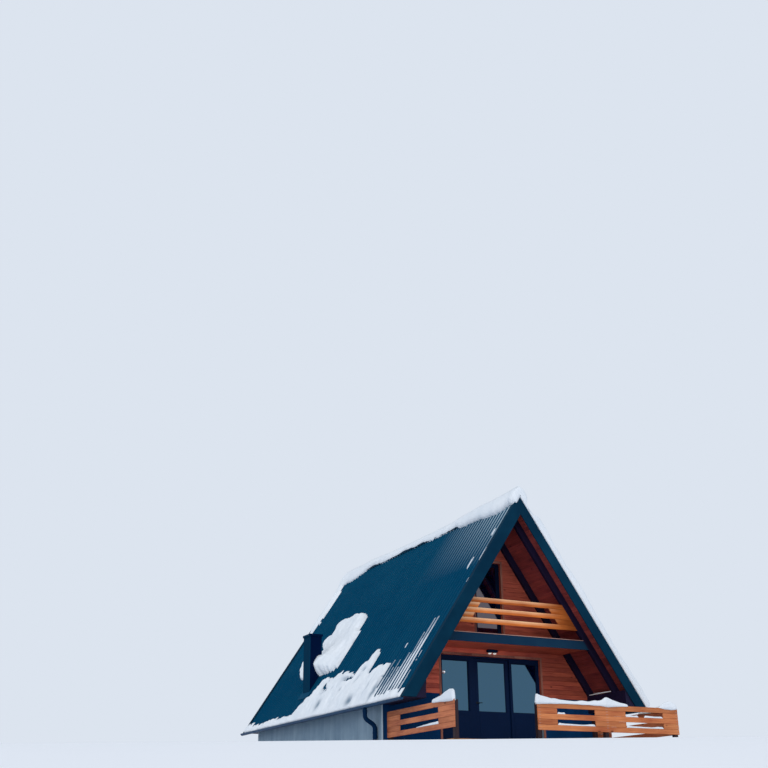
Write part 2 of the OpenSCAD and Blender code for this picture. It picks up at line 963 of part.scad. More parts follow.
// Half-round hood with two lamps under it
lamp_d = 110;
lamp_h = 55;
bulb_h = 40;
bulb_r = 38;

module wall_lamp() {
    color("black")
        translate([door_shift, wall_y, lamp_z]) {
            translate([-lamp_w / 2, -lamp_d, 0]) cube([lamp_w, lamp_d, lamp_h]);
            for (s = [-1, 1])
                translate([s * lamp_w / 4, -lamp_d / 2 - 10, -bulb_h])
                    cylinder(r = bulb_r, h = bulb_h);
        }
}

module wall_box() {
    color("midnightblue")
        translate([-box_x - box_w / 2, wall_y - box_d, plinth_h + 160])
            cube([box_w, box_d, box_h]);
}

foundation_left();
foundation_right();
front_plinth_left();
front_plinth_right();
door_sill();
back_plinth();
ground_floor();
front_wall_left();
front_wall_right();
front_wall_upper();
back_wall();
upper_floor();
roof_deck_left();
roof_deck_right();
rafters();
eave_beams();
eave_soffits();
roof_sheet_left();
roof_sheet_right();
ridge_cap();
barge_front();
barge_back();
gutters();
downpipes();
chimney();
balcony_floor();
balcony_fascia();
balcony_rail();
balcony_door_frame();
door_trims();
terrace_boards();
terrace_joists();
terrace_bearers();
rail_front();
rail_left();
rail_right();
rail_posts();
door_frame();
side_lights();
side_light_glass();
wall_lamp();
wall_box();
back_window_frames();
upper_glass();
roof_snow();
door_hinges();
door_leaf();
door_glass();
door_handle();
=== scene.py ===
import math

import bmesh
import bpy
import numpy as np
from mathutils import Matrix, Vector


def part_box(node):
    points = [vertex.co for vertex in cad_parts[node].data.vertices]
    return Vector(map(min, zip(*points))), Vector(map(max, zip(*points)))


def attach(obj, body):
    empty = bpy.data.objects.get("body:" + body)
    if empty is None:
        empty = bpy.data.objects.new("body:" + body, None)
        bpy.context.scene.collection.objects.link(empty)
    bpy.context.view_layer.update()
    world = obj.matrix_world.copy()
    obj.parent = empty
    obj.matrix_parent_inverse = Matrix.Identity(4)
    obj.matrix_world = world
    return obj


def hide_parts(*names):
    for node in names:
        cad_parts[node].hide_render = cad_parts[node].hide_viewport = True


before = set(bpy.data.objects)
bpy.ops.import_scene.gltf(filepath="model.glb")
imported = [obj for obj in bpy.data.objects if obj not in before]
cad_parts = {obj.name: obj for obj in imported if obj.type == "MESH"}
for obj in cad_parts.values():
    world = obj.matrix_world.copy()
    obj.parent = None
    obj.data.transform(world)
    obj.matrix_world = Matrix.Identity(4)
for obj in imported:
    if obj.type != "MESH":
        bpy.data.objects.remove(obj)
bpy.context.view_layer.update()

# The view. The cabin is seen from down the slope with a lens of about 51 mm on
# a 36 mm frame, looking up at the gable and along the left side of the roof.
scene = bpy.context.scene
scene.view_settings.view_transform = "Standard"
view_from = Vector((-14.236, -25.439, -1.400))
yaw, pitch, roll = 0.464335, 0.390532, -0.009521
ahead = Vector((math.sin(yaw) * math.cos(pitch), math.cos(yaw) * math.cos(pitch), math.sin(pitch)))
level = Vector((math.cos(yaw), -math.sin(yaw), 0))
upright = level.cross(ahead)
turned = level * math.cos(roll) + upright * math.sin(roll)
topward = upright * math.cos(roll) - level * math.sin(roll)
camera = bpy.data.objects.new("camera", bpy.data.cameras.new("camera"))
camera.data.lens = 50.852
camera.data.sensor_width = 36
camera.data.clip_end = 400
camera.matrix_world = Matrix.Translation(view_from) @ Matrix((turned, topward, -ahead)).transposed().to_4x4()
scene.collection.objects.link(camera)
scene.camera = camera

# Studio. An even overcast light with one broad soft lamp from the front left,
# and a pale floor that is level round the cabin and falls towards the camera.


def linear(code):
    """An sRGB hex colour as linear red, green, blue and alpha."""
    parts = [int(code[i:i + 2], 16) / 255 for i in (0, 2, 4)]
    return tuple(c / 12.92 if c <= 0.04045 else ((c + 0.055) / 1.055) ** 2.4 for c in parts) + (1.0,)


def feed(tree, node, *values, **named):
    """Sets a node's live inputs, in turn or by name, and its settings, whose names are all lower case.
    An input takes a value, a socket, or a node, which stands for its own first live output."""
    inputs = {}
    for name, value in named.items():
        if name.islower():
            setattr(node, name, value)
        else:
            inputs[name.replace("_", " ")] = value
    live = [socket for socket in node.inputs if socket.enabled]
    assert set(inputs) <= {socket.name for socket in live}, node.name
    inputs_in_turn = list(zip(live, values))
    inputs_by_name = [(socket, inputs[socket.name]) for socket in live if socket.name in inputs]
    for socket, value in inputs_in_turn + inputs_by_name:
        if isinstance(value, bpy.types.Node):
            value = next(output for output in value.outputs if output.enabled)
        if isinstance(value, bpy.types.NodeSocket):
            tree.links.new(value, socket)
        else:
            socket.default_value = value


def add(tree, kind, *values, **named):
    """Adds a node with its settings and links. A kind that has no prefix is a shader node."""
    made = tree.nodes.new(kind if "Node" in kind else "ShaderNode" + kind)
    feed(tree, made, *values, **named)
    return made


world = bpy.data.worlds.new("studio")
world.use_nodes = True
scene.world = world
around = world.node_tree
around.nodes.clear()
rays = add(around, "LightPath").outputs
seen = add(around, "Math", rays["Is Camera Ray"], rays["Is Glossy Ray"], operation="MAXIMUM")
seen = add(around, "Math", seen, rays["Is Transmission Ray"], operation="MAXIMUM")
overcast = add(around, "Background", Color=linear("E9F1FA"), Strength=0.8)
backdrop = add(around, "Background", Color=linear("DCE4EF"), Strength=1.0)
both = add(around, "MixShader", seen, overcast, backdrop)
add(around, "OutputWorld", Surface=both)

lamp = bpy.data.objects.new("soft_lamp", bpy.data.lights.new("soft_lamp", "SUN"))
lamp.data.energy = 1.25
lamp.data.angle = math.radians(50)
lamp.data.color = linear("FFF6EA")[:3]
lamp.rotation_mode = "QUATERNION"
lamp.rotation_quaternion = Vector((0.50, 0.74, -0.40)).to_track_quat("-Z", "Y")
scene.collection.objects.link(lamp)

floor_reach, level_to = 160, 8.6
fall_run, fall_depth, fall_steps = 26.0, 3.0, 60
toward = Vector((-math.sin(yaw), -math.cos(yaw), 0))
rows = [-floor_reach, -20, 0, level_to]
rows += [level_to + fall_run * i / fall_steps for i in range(1, fall_steps + 1)] + [floor_reach]
points, quads = [], []
for i, away in enumerate(rows):
    part = min(max((away - level_to) / fall_run, 0), 1)
    drop = Vector((0, 0, -fall_depth * part * part * (3 - 2 * part)))
    points += [toward * away + level * side + drop for side in (-floor_reach, floor_reach)]
    if i:
        quads.append((2 * i - 2, 2 * i - 1, 2 * i + 1, 2 * i))
ground = bpy.data.meshes.new("floor")
ground.from_pydata(points, [], quads)
if ground.polygons[0].normal.z < 0:
    ground.flip_normals()
ground.shade_smooth()
floor = bpy.data.objects.new("floor", ground)
scene.collection.objects.link(floor)


def finish(name, **values):
    """A new material with its node tree, its surface shader and the piece's own coordinates."""
    material = bpy.data.materials.new(name)
    material.use_nodes = True
    tree = material.node_tree
    shader = tree.nodes["Principled BSDF"]
    feed(tree, shader, **values)
    return material, tree, shader, add(tree, "TexCoord").outputs["Object"]


# Matt paper has hardly any shine, and its tone drifts slowly over the whole floor
paper, tree, shader, place = finish("pale_floor_paper", Roughness=0.9, Specular_IOR_Level=0.1)
drifting = add(tree, "TexNoise", Scale=0.3, Detail=3.0)
tone = add(tree, "Mix", drifting, linear("EAEFF8"), linear("F2F5FB"), data_type="RGBA")
feed(tree, shader, Base_Color=tone)
ground.materials.append(paper)

# Side walls, plinth and sill. The masonry carries a trowelled render: pale blue
# grey along the eaves, and painted a deep navy under the gables.


def render_coat(name, light, dark, returns=None):
    """Trowelled render: slow weather patches, rain stains, sand grain and faint trowel sweeps.
    Returns are the two tones of the faces that look aside."""
    material, tree, shader, place = finish(name, Roughness=0.85, Specular_IOR_Level=0.06)
    patches = add(tree, "TexNoise", Vector=place, Scale=1.4, Detail=5.0, Roughness=0.6)
    runs = add(tree, "Mapping", Vector=place, Scale=(3.0, 3.0, 0.5))
    stain = add(tree, "TexNoise", Vector=runs, Scale=1.8, Detail=4.0)
    mixed = add(tree, "Math", patches, stain, operation="MULTIPLY")
    part = add(tree, "MapRange", mixed, 0.12, 0.42)
    colour = add(tree, "Mix", part, linear(dark), linear(light), data_type="RGBA")
    if returns:
        facing = add(tree, "SeparateXYZ", add(tree, "TexCoord").outputs["Normal"])
        aside = add(tree, "Math", facing, operation="ABSOLUTE")
        aside = add(tree, "Math", aside, 0.8, operation="GREATER_THAN")
        beside = add(tree, "Mix", part, linear(returns[1]), linear(returns[0]), data_type="RGBA")
        colour = add(tree, "Mix", aside, colour, beside, data_type="RGBA")
    # Sand of 1 to 2 mm is too fine to show, so it is drawn at about 12 mm
    sand = add(tree, "TexNoise", Vector=place, Scale=80.0, Detail=3.0)
    sweep = add(tree, "TexNoise", Vector=place, Scale=6.0, Detail=2.0, Distortion=1.2)
    height = add(tree, "Math", sweep, sand, operation="ADD")
    bump = add(tree, "Bump", Height=height, Strength=0.5, Distance=0.004)
    feed(tree, shader, Base_Color=colour, Normal=bump)
    return material


def dress(material, names, edge=0.0):
    """Gives CAD nodes their finish and, where the real piece has them, eased edges."""
    for name in names:
        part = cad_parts[name]
        part.data.materials.clear()
        part.data.materials.append(material)
        if edge:
            weld = part.modifiers.new("weld", "WELD")
            weld.merge_threshold = 0.0001
            eased = part.modifiers.new("ease", "BEVEL")
            eased.width = edge
            eased.segments = 2
            eased.limit_method = "ANGLE"
            eased.angle_limit = math.radians(35)


wall_tones = ("8499AB", "677E92")
side_render = render_coat("trowelled_render_blue_grey", *wall_tones)
navy_render = render_coat("trowelled_render_navy", "06396A", "052D56", returns=wall_tones)
dress(side_render, ["foundation_left", "foundation_right"], 0.006)
dress(navy_render, ["front_plinth_left", "front_plinth_right", "back_plinth", "door_sill"], 0.006)

# Corner beads. A pale metal angle is bedded in the render at each end of the
# side walls to keep their corners straight.


def piece(name, mesh, material, body="cabin", stands_for=()):
    """Puts a finished mesh in the scene as a piece that rides on a CAD body."""
    mesh.name = name
    mesh.materials.clear()
    mesh.materials.append(material)
    made = bpy.data.objects.new(name, mesh)
    scene.collection.objects.link(made)
    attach(made, body)
    if stands_for:
        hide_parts(*stands_for)


def settled(made):
    """The mesh of a shape that is done."""
    mesh = bpy.data.meshes.new("part")
    made.to_mesh(mesh)
    made.free()
    return mesh


def joined(meshes):
    """Several meshes as one."""
    made = bmesh.new()
    for mesh in meshes:
        made.from_mesh(mesh)
        bpy.data.meshes.remove(mesh)
    return settled(made)


def boards(cuts, edge=0.003, segments=2):
    """One mesh of boards, each an outline of corner points pushed along a vector, with eased edges."""
    meshes = []
    for outline, push in cuts:
        one = bmesh.new()
        face = one.faces.new([one.verts.new(p) for p in outline])
        grown = bmesh.ops.extrude_face_region(one, geom=[face])
        moved = [g for g in grown["geom"] if isinstance(g, bmesh.types.BMVert)]
        bmesh.ops.translate(one, verts=moved, vec=push)
        bmesh.ops.recalc_face_normals(one, faces=one.faces[:])
        if edge:
            bmesh.ops.bevel(one, geom=one.edges[:], offset=edge, segments=segments, affect="EDGES",
                            clamp_overlap=True)
        meshes.append(settled(one))
    return joined(meshes)


def block(x0, x1, y0, y1, z0, z1):
    """A box as an outline and its push along Y."""
    return [(x0, y0, z0), (x1, y0, z0), (x1, y0, z1), (x0, y0, z1)], (0, y1 - y0, 0)


def mottled(name, dark, light, scale, detail, rough=None, drawn=None, relief=None, **values):
    """A finish in soft blotches of two tones. Rough holds the roughness of each tone, drawn stretches
    the blotches, and relief is the scale, strength and depth of a fine bump."""
    material, tree, shader, place = finish(name, **values)
    if drawn:
        place = add(tree, "Mapping", Vector=place, Scale=drawn)
    blotches = add(tree, "TexNoise", Vector=place, Scale=scale, Detail=detail)
    tone = add(tree, "Mix", blotches, linear(dark), linear(light), data_type="RGBA")
    feed(tree, shader, Base_Color=tone)
    if rough:
        worn = add(tree, "MapRange", blotches, To_Min=rough[0], To_Max=rough[1])
        feed(tree, shader, Roughness=worn)
    if relief:
        fine = add(tree, "TexNoise", Vector=place, Scale=relief[0], Detail=2.0)
        bump = add(tree, "Bump", Height=fine, Strength=relief[1], Distance=relief[2])
        feed(tree, shader, Normal=bump)
    if "Emission_Strength" in values:
        feed(tree, shader, Emission_Color=tone)
    return material


plinth_side, wall_face = abs(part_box("front_plinth_left")[0].x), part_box("front_plinth_left")[0].y
back_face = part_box("back_plinth")[1].y
bead_w, bead_t, bead_foot, bead_top = 0.075, 0.006, 0.002, 1.226
beads = []
for side in (-1, 1):
    x0, x1 = sorted((side * plinth_side, side * (plinth_side + bead_t)))
    for y0, y1 in ((wall_face - bead_t, wall_face + bead_w), (back_face - bead_w, back_face + bead_t)):
        beads.append(block(x0, x1, y0, y1, bead_foot, bead_top))
# Weathered zinc is a dull pale grey, with cloudy bloom of about 110 mm that is more matt
bead_metal = mottled("galvanised_corner_bead", "8298A8", "A9BAC6", 9.0, 4.0, rough=(0.4, 0.65), Metallic=0.2,
                     Specular_IOR_Level=0.3)
piece("corner_beads", boards(beads, 0.002, 1), bead_metal)

# Rafters, eave beams and floors. Planed softwood under a dark stain, each rafter
# pair sawn plumb at the ridge and seated on the eave beams.


def stained_wood(name, light, dark, grain, stack="Z", board=0.11, first=0.0, lean=0.0, knots=0.6, spread=0.16,
                 painted_crest_light=None, shades=()):
    """Stained softwood: each board has its own tone and grain, with rings of about 25 mm and knots of about
    30 mm. The crest light is painted on the upper half of each board, as painted highlight. Shades are ramps
    of brightness along an axis: where each starts and ends, and its two values."""
    material, tree, shader, place = finish(name, Specular_IOR_Level=0.15)
    if lean:
        # Both slopes fold onto one, so that the grain follows the rafters
        apart = add(tree, "SeparateXYZ", place).outputs
        size = add(tree, "Math", apart["X"], operation="ABSOLUTE")
        folded = add(tree, "CombineXYZ", size, apart["Y"], apart["Z"])
        place = add(tree, "VectorRotate", Vector=folded, Angle=lean, rotation_type="Y_AXIS")
    apart = add(tree, "SeparateXYZ", place).outputs
    above = add(tree, "Math", apart[stack], first, operation="SUBTRACT")
    count = add(tree, "Math", above, board, operation="DIVIDE")
    number = add(tree, "Math", count, operation="FLOOR")
    own = add(tree, "TexWhiteNoise", W=number, noise_dimensions="1D")
    shift = add(tree, "Math", own, 40.0, operation="MULTIPLY")
    along = add(tree, "Mapping", Vector=place, Scale=[1.0 if axis == grain else 16.0 for axis in "XYZ"])
    rings = add(tree, "TexNoise", Vector=along, W=shift, Scale=2.4, Detail=6.0, Roughness=0.62,
                Distortion=0.5, noise_dimensions="4D")
    slow = add(tree, "TexNoise", Vector=place, W=shift, Scale=1.3, Detail=2.0, noise_dimensions="4D")
    figure = add(tree, "Math", rings, slow, operation="ADD")
    part = add(tree, "MapRange", figure, 0.72, 1.28)
    colour = add(tree, "Mix", part, linear(dark), linear(light), data_type="RGBA")
    own_value = add(tree, "MapRange", own, To_Min=1 - spread, To_Max=1 + spread)
    colour = add(tree, "HueSaturation", Color=colour, Value=own_value)
    spots = add(tree, "Mapping", Vector=place, Scale=[2.2 if axis == grain else 5.0 for axis in "XYZ"])
    cell = add(tree, "TexVoronoi", Vector=spots, Scale=1.0, feature="F1").outputs
    knot = add(tree, "MapRange", cell["Distance"], 0.05, 0.12, 1.0, 0.0, interpolation_type="SMOOTHSTEP")
    some = add(tree, "SeparateColor", cell["Color"])
    some = add(tree, "Math", some, 1 - knots, operation="GREATER_THAN")
    knot = add(tree, "Math", knot, some, operation="MULTIPLY")
    heart = tuple(c * 0.35 for c in linear(dark)[:3]) + (1.0,)
    colour = add(tree, "Mix", knot, colour, heart, data_type="RGBA")
    if painted_crest_light:
        # The upper half of each board is painted lighter, as painted highlight from the light above, except
        # at its right end
        crest = add(tree, "Math", count, operation="FRACT")
        crest = add(tree, "MapRange", crest, 0.3, 0.95)
        far = add(tree, "MapRange", apart["X"], 0.5, 1.3, 1.0, 0.0)
        uneven = add(tree, "MapRange", figure, 0.7, 1.2, 0.5)
        for amount in (far, uneven):
            crest = add(tree, "Math", crest, amount, operation="MULTIPLY")
        colour = add(tree, "Mix", crest, colour, linear(painted_crest_light), data_type="RGBA")
    for axis, start, end, low, high in shades:
        shade = add(tree, "MapRange", apart[axis], start, end, low, high)
        colour = add(tree, "HueSaturation", Color=colour, Value=shade)
    worn = add(tree, "MapRange", rings, To_Min=0.48, To_Max=0.74)
    bump = add(tree, "Bump", Height=rings, Strength=0.35, Distance=0.003)
    feed(tree, shader, Base_Color=colour, Roughness=worn, Normal=bump)
    return material


ridge_z, half_width, eave_z = 6.090, 3.270, 1.240
slope = math.atan2(ridge_z - eave_z, half_width)
slope_length = math.hypot(ridge_z - eave_z, half_width)
rafter_depth, deck_depth = 0.274, 0.1003
dark_wood = stained_wood("dark_stained_rafter_softwood", "1E1838", "0D0A22", "X", stack="Y", board=0.8,
                         lean=-slope, knots=0.3)
dress(dark_wood, ["rafters"], 0.004)
beam_wood = stained_wood("dark_stained_beam_softwood", "1E1838", "0E0B22", "Y", board=0.2, knots=0.3)
dress(beam_wood, ["eave_beams", "eave_soffits"], 0.003)
floor_wood = stained_wood("oiled_floor_boards", "A9703F", "7C4A27", "Y", stack="X", board=0.13)
dress(floor_wood, ["ground_floor", "upper_floor"], 0.003)

# Gable boarding. Tongued and grooved pine boards run level across the gables,
# nailed to the wall and cut to the slope under the rafters, with a shadow
# groove at each joint.


def node_rows(name, result, inputs):
    """A new node tree with its result and its named inputs."""
    tree = bpy.data.node_groups.new(name, "GeometryNodeTree")
    tree.interface.new_socket(result, in_out="OUTPUT", socket_type="NodeSocketGeometry")
    for label, kind in inputs.items():
        tree.interface.new_socket(label, in_out="INPUT", socket_type="NodeSocket" + kind)
    return tree, add(tree, "NodeGroupInput").outputs


def grow(tree, values):
    """Runs a node tree with its named inputs and returns the plain mesh."""
    maker = bpy.data.objects.new("maker", bpy.data.meshes.new("maker"))
    scene.collection.objects.link(maker)
    modifier = maker.modifiers.new("grow", "NODES")
    modifier.node_group = tree
    for item in tree.interface.items_tree:
        if item.in_out == "INPUT":
            modifier[item.identifier] = values[item.name]
    graph = bpy.context.evaluated_depsgraph_get()
    mesh = bpy.data.meshes.new_from_object(maker.evaluated_get(graph), preserve_all_data_layers=True,
                                           depsgraph=graph)
    maker.modifiers.remove(modifier)
    bpy.data.objects.remove(maker)
    return mesh


board_rows, given = node_rows("board_rows", "Boards laid", {
    "Board": "Object", "Courses": "Int", "Pitch": "Float", "First course": "Float",
    "Left end": "Float", "Left lean": "Float", "Right end": "Float", "Right lean": "Float",
    "Reach": "Float", "Finish": "Material"})
step = add(board_rows, "CombineXYZ", Z=given["Pitch"])
start = add(board_rows, "CombineXYZ", Z=given["First course"])
line = add(board_rows, "GeometryNodeMeshLine", Count=given["Courses"], Start_Location=start, Offset=step)
shape = add(board_rows, "GeometryNodeObjectInfo", Object=given["Board"]).outputs["Geometry"]
laid = add(board_rows, "GeometryNodeInstanceOnPoints", Points=line, Instance=shape)
solid = add(board_rows, "GeometryNodeRealizeInstances", laid)
here = add(board_rows, "SeparateXYZ", add(board_rows, "GeometryNodeInputPosition")).outputs
ends = []
for side, limit, pick in (("Left", -1.0, "MAXIMUM"), ("Right", 1.0, "MINIMUM")):
    leaned = add(board_rows, "Math", here["Z"], given[side + " lean"], given[side + " end"],
                 operation="MULTIPLY_ADD")
    farthest = add(board_rows, "Math", given["Reach"], limit, operation="MULTIPLY")
    ends.append(add(board_rows, "Math", leaned, farthest, operation=pick))
length = add(board_rows, "Math", ends[1], ends[0], operation="SUBTRACT")
moved_x = add(board_rows, "Math", here["X"], length, ends[0], operation="MULTIPLY_ADD")
spot = add(board_rows, "CombineXYZ", moved_x, here["Y"], here["Z"])
placed = add(board_rows, "GeometryNodeSetPosition", Geometry=solid, Position=spot)
coated = add(board_rows, "GeometryNodeSetMaterial", Geometry=placed, Material=given["Finish"])
add(board_rows, "NodeGroupOutput", coated)


def board_shape(face, thick, groove):
    """A board one metre long to be stretched: its face looks along -Y, with a chamfer at each long edge."""
    outline = [(0, 0, 0), (0, groove - thick, 0), (0, -thick, groove), (0, -thick, face - groove),
               (0, groove - thick, face), (0, 0, face)]
    return bpy.data.objects.new("board_shape", boards([(outline, (1, 0, 0))], 0))


def courses(board, count, pitch, ends, finish, first=0.0, leans=(0.0, 0.0), reach=20.0):
    """Boards in even courses between two ends, which may lean with the height and stop at the reach."""
    return grow(board_rows, {
        "Board": board, "Courses": count, "Pitch": pitch, "First course": first,
        "Left end": ends[0], "Left lean": leans[0], "Right end": ends[1], "Right lean": leans[1],
        "Reach": reach, "Finish": finish})


course, board_face, board_thick = 0.1067, 0.1032, 0.014
gable_board = board_shape(board_face, board_thick, 0.004)
# Under the balcony the boards are painted lighter, as painted light against the balcony's shade, and the left
# side is painted lighter and the right side darker, as painted light and shade
painted_lift, balcony_under = 1.45, 2.765
pine = stained_wood("stained_pine_gable_boards", "C8664F", "8E4038", "X", board=course, first=1.533,
                    shades=[("Z", 2.30, 2.52, 1.0, painted_lift),
                            ("Z", balcony_under, balcony_under + 0.001, 1.0, 1 / painted_lift),
                            ("X", -1.8, 1.4, 1.42, 0.74)])
lean = 1 / math.tan(slope)
under = ridge_z - (rafter_depth + 0.003) / math.cos(slope)
gable_half, first_board, head_z, balcony_z = 2.672, 1.5345, 2.4955, 2.771
trim_left, trim_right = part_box("door_trims")[0].x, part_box("door_trims")[1].x
up_left, up_right = -0.496, 0.366
door_courses, up_courses, peak_courses = 9, 19, 7


def gable_rows(first, count, left=None, right=None, pitch=course):
    """Courses of boards between two ends. An end that isn't given follows the roof."""
    ends = (-under * lean if left is None else left, under * lean if right is None else right)
    leans = (lean if left is None else 0.0, -lean if right is None else 0.0)
    return courses(gable_board, count, pitch, ends, pine, first, leans, gable_half)


front_boards = joined([
    gable_rows(first_board, door_courses, right=trim_left - 0.001),
    gable_rows(first_board, door_courses, left=trim_right + 0.001),
    gable_rows(head_z, 1),
    gable_rows(balcony_z, up_courses, right=up_left),
    gable_rows(balcony_z, up_courses, left=up_right),
    gable_rows(balcony_z + up_courses * course + 0.004, peak_courses),
])
front_boards.transform(Matrix.Translation((0, wall_face, 0)))
piece("front_gable_boards", front_boards, pine)

win_in, win_out, win_low, win_top = 0.55, 1.55, 1.593, 2.313
attic_half, attic_low, attic_top = 0.375, 3.620, 4.570
side_courses, middle_courses, attic_courses = 7, 12, 9
side_pitch = (win_top - win_low) / side_courses
middle_pitch = (attic_low - win_top) / middle_courses
attic_pitch = (attic_top - attic_low) / attic_courses
back_rows = [gable_rows(first_board - 0.0467, 1)]
for left, right in ((None, -win_out), (-win_in, win_in), (win_out, None)):
    back_rows.append(gable_rows(win_low, side_courses, left, right, side_pitch))
back_rows.append(gable_rows(win_top, middle_courses, pitch=middle_pitch))
for left, right in ((None, -attic_half), (attic_half, None)):
    back_rows.append(gable_rows(attic_low, attic_courses, left, right, attic_pitch))
back_rows.append(gable_rows(attic_top, attic_courses))
back_boards = joined(back_rows)
back_boards.transform(Matrix.Translation((0, back_face, 0)) @ Matrix.Rotation(math.pi, 4, "Z"))
piece("back_gable_boards", back_boards, pine)
dress(pine, ["front_wall_left", "front_wall_right", "front_wall_upper", "back_wall", "balcony_floor"], 0.003)

# Soffit boards. The same pine is nailed across the rafters on the underside of
# the roof deck, and shows between the rafters under both overhangs. Its lowest
# boards are painted darker, as painted shade.
soffit_pine = stained_wood("stained_pine_soffit_boards", "AE524C", "78323A", "Y",
                           board=course * math.sin(slope), first=eave_z,
                           shades=[("Z", 1.5, 3.3, 0.55, 1.0)])
dress(soffit_pine, ["roof_deck_left", "roof_deck_right"])
rafter_ys = sorted({round(v.co.y, 4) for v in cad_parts["rafters"].data.vertices})
barge_in_front, barge_in_back, bay_gap = -4.254, 5.736, 0.002
bays = [(barge_in_front, rafter_ys[0]), (rafter_ys[1], rafter_ys[2]), (rafter_ys[-1], barge_in_back)]
soffit_board, soffit_courses = board_shape(board_face, 0.010, 0.003), 49
first_down = deck_depth * math.tan(math.pi / 2 - slope) + 0.10
soffit_rows = []
for y0, y1 in bays:
    for side in (-1, 1):
        bay = courses(soffit_board, soffit_courses, course, (bay_gap, y1 - y0 - bay_gap), soffit_pine)
        normal = Vector((side * math.sin(slope), 0, math.cos(slope)))
        down = Vector((side * math.cos(slope), 0, -math.sin(slope)))
        across = normal.cross(down)
        top = Vector((0, y0 if across.y > 0 else y1, ridge_z)) - normal * deck_depth + down * first_down
        bay.transform(Matrix.Translation(top) @ Matrix((across, normal, down)).transposed().to_4x4())
        soffit_rows.append(bay)
piece("soffit_boards", joined(soffit_rows), soffit_pine)

# Roof sheet, ridge cap and barges. Ribbed steel sheet, folded cap and flashings,
# all coated in a matt deep teal at the works, which fades a little to grey high
# up near the ridge.


def coated_steel(name, colour, faded, rough=0.6, gloss=0.015, high=None, ribs=None, painted_front_shade=None):
    """Coil-coated steel: matt paint with faint runs down the slope, slow fading and a fine orange peel.
    High is where a grey bloom starts and ends and its amount, ribs are the first rib and their pitch, and the
    front shade is a colour painted on the faces that look to the front, as painted shade."""
    material, tree, shader, place = finish(name, Specular_IOR_Level=gloss)
    apart = add(tree, "SeparateXYZ", place).outputs
    slow = add(tree, "TexNoise", Vector=place, Scale=0.7, Detail=4.0, Roughness=0.6)
    drawn = add(tree, "Mapping", Vector=place, Scale=(0.8, 9.0, 0.8))
    runs = add(tree, "TexNoise", Vector=drawn, Scale=1.6, Detail=5.0, Roughness=0.65)
    both = add(tree, "Math", slow, runs, operation="MULTIPLY")
    part = add(tree, "MapRange", both, 0.18, 0.42, To_Max=0.8)
    if high:
        bloom = add(tree, "MapRange", apart["Z"], high[0], high[1], To_Max=high[2],
                    interpolation_type="SMOOTHSTEP")
        speck = add(tree, "TexNoise", Vector=place, Scale=7.0, Detail=6.0, Roughness=0.75)
        speck = add(tree, "MapRange", speck, 0.35, 0.65)
        bloom = add(tree, "Math", bloom, speck, operation="MULTIPLY")
        part = add(tree, "Math", part, bloom, operation="ADD", use_clamp=True)
    paint = add(tree, "Mix", part, linear(colour), linear(faded), data_type="RGBA")
    if ribs:
        # Pale lines on the front flank and top of each rib, most of them near the front of the ridge, are
        # partly hoar frost and partly painted highlight
        turns = add(tree, "Math", apart["Y"], ribs[0], operation="SUBTRACT")
        turns = add(tree, "Math", turns, ribs[1], operation="DIVIDE")
        phase = add(tree, "Math", turns, operation="FRACT")
        frost_and_highlight = add(tree, "Math", phase, 0.94, 0.075, operation="COMPARE")
        upper = add(tree, "MapRange", apart["Z"], 4.3, 5.7, To_Max=0.75)
        front = add(tree, "MapRange", apart["Y"], -4.1, -0.9, 1.0, 0.0)
        for amount in (upper, front):
            frost_and_highlight = add(tree, "Math", frost_and_highlight, amount, operation="MULTIPLY")
        paint = add(tree, "Mix", frost_and_highlight, paint, linear("B4CAD8"), data_type="RGBA")
    if painted_front_shade:
        # The faces towards the front verge are painted dark, as painted shade
        facing = add(tree, "SeparateXYZ", add(tree, "TexCoord").outputs["Normal"]).outputs["Y"]
        shade_faces = add(tree, "Math", facing, -0.7, operation="LESS_THAN")
        paint = add(tree, "Mix", shade_faces, paint, linear(painted_front_shade), data_type="RGBA")
    worn = add(tree, "MapRange", runs, To_Min=rough - 0.1, To_Max=rough + 0.15)
    # Orange peel of 1 to 2 mm is drawn at about 17 mm so that it shows
    peel = add(tree, "TexNoise", Vector=place, Scale=60.0, Detail=2.0)
    bump = add(tree, "Bump", Height=peel, Strength=0.12, Distance=0.002)
    feed(tree, shader, Base_Color=paint, Roughness=worn, Normal=bump)
    return material


rib_pitch, rib_count, first_rib = 0.155, 65, -4.219
roof_paint = coated_steel("coil_coated_teal_roof_sheet", "003E5E", "0A4664", high=(3.6, 6.0, 0.7),
                          ribs=(first_rib, rib_pitch))
dress(roof_paint, ["roof_sheet_left", "roof_sheet_right"])
# The cap and barges take the roof's teal painted darker, as painted shade
barge_paint_with_painted_shade = coated_steel("coil_coated_teal_flashing", "07293F", "0C3850")
dress(barge_paint_with_painted_shade, ["ridge_cap", "barge_front", "barge_back"], 0.003)
fascia_paint = coated_steel("coil_coated_dark_fascia", "14304A", "1B3A52")
dress(fascia_paint, ["balcony_fascia"], 0.003)

# Roof screws. Hex-headed self-drilling screws with bonded washers fix the sheet
# through its rib tops at every third batten line.


def circle(radius, sides=24):
    """Points round a circle."""
    turns = [2 * math.pi * k / sides for k in range(sides)]
    return [(radius * math.cos(a), radius * math.sin(a)) for a in turns]


def ringed(rings, smooth=True):
    """A closed shape through rings of points, with flat ends."""
    made = bmesh.new()
    rings = [[made.verts.new(p) for p in ring] for ring in rings]
    for low, high in zip(rings, rings[1:]):
        for k in range(len(low)):
            j = (k + 1) % len(low)
            made.faces.new((low[k], low[j], high[j], high[k])).smooth = smooth
    made.faces.new(rings[0][::-1])
    made.faces.new(rings[-1])
    bmesh.ops.recalc_face_normals(made, faces=made.faces[:])
    return settled(made)


def screw_shape(name, head, washer, tall):
    """A hex head on a thin washer, facing +Z, with its foot at the origin."""
    meshes = []
    for sides, radius, low, high in ((12, washer, 0.0, tall * 0.3), (6, head, tall * 0.3, tall)):
        meshes.append(ringed([[(x, y, z) for x, y in circle(radius, sides)] for z in (low, high)], False))
    return bpy.data.objects.new(name, joined(meshes))


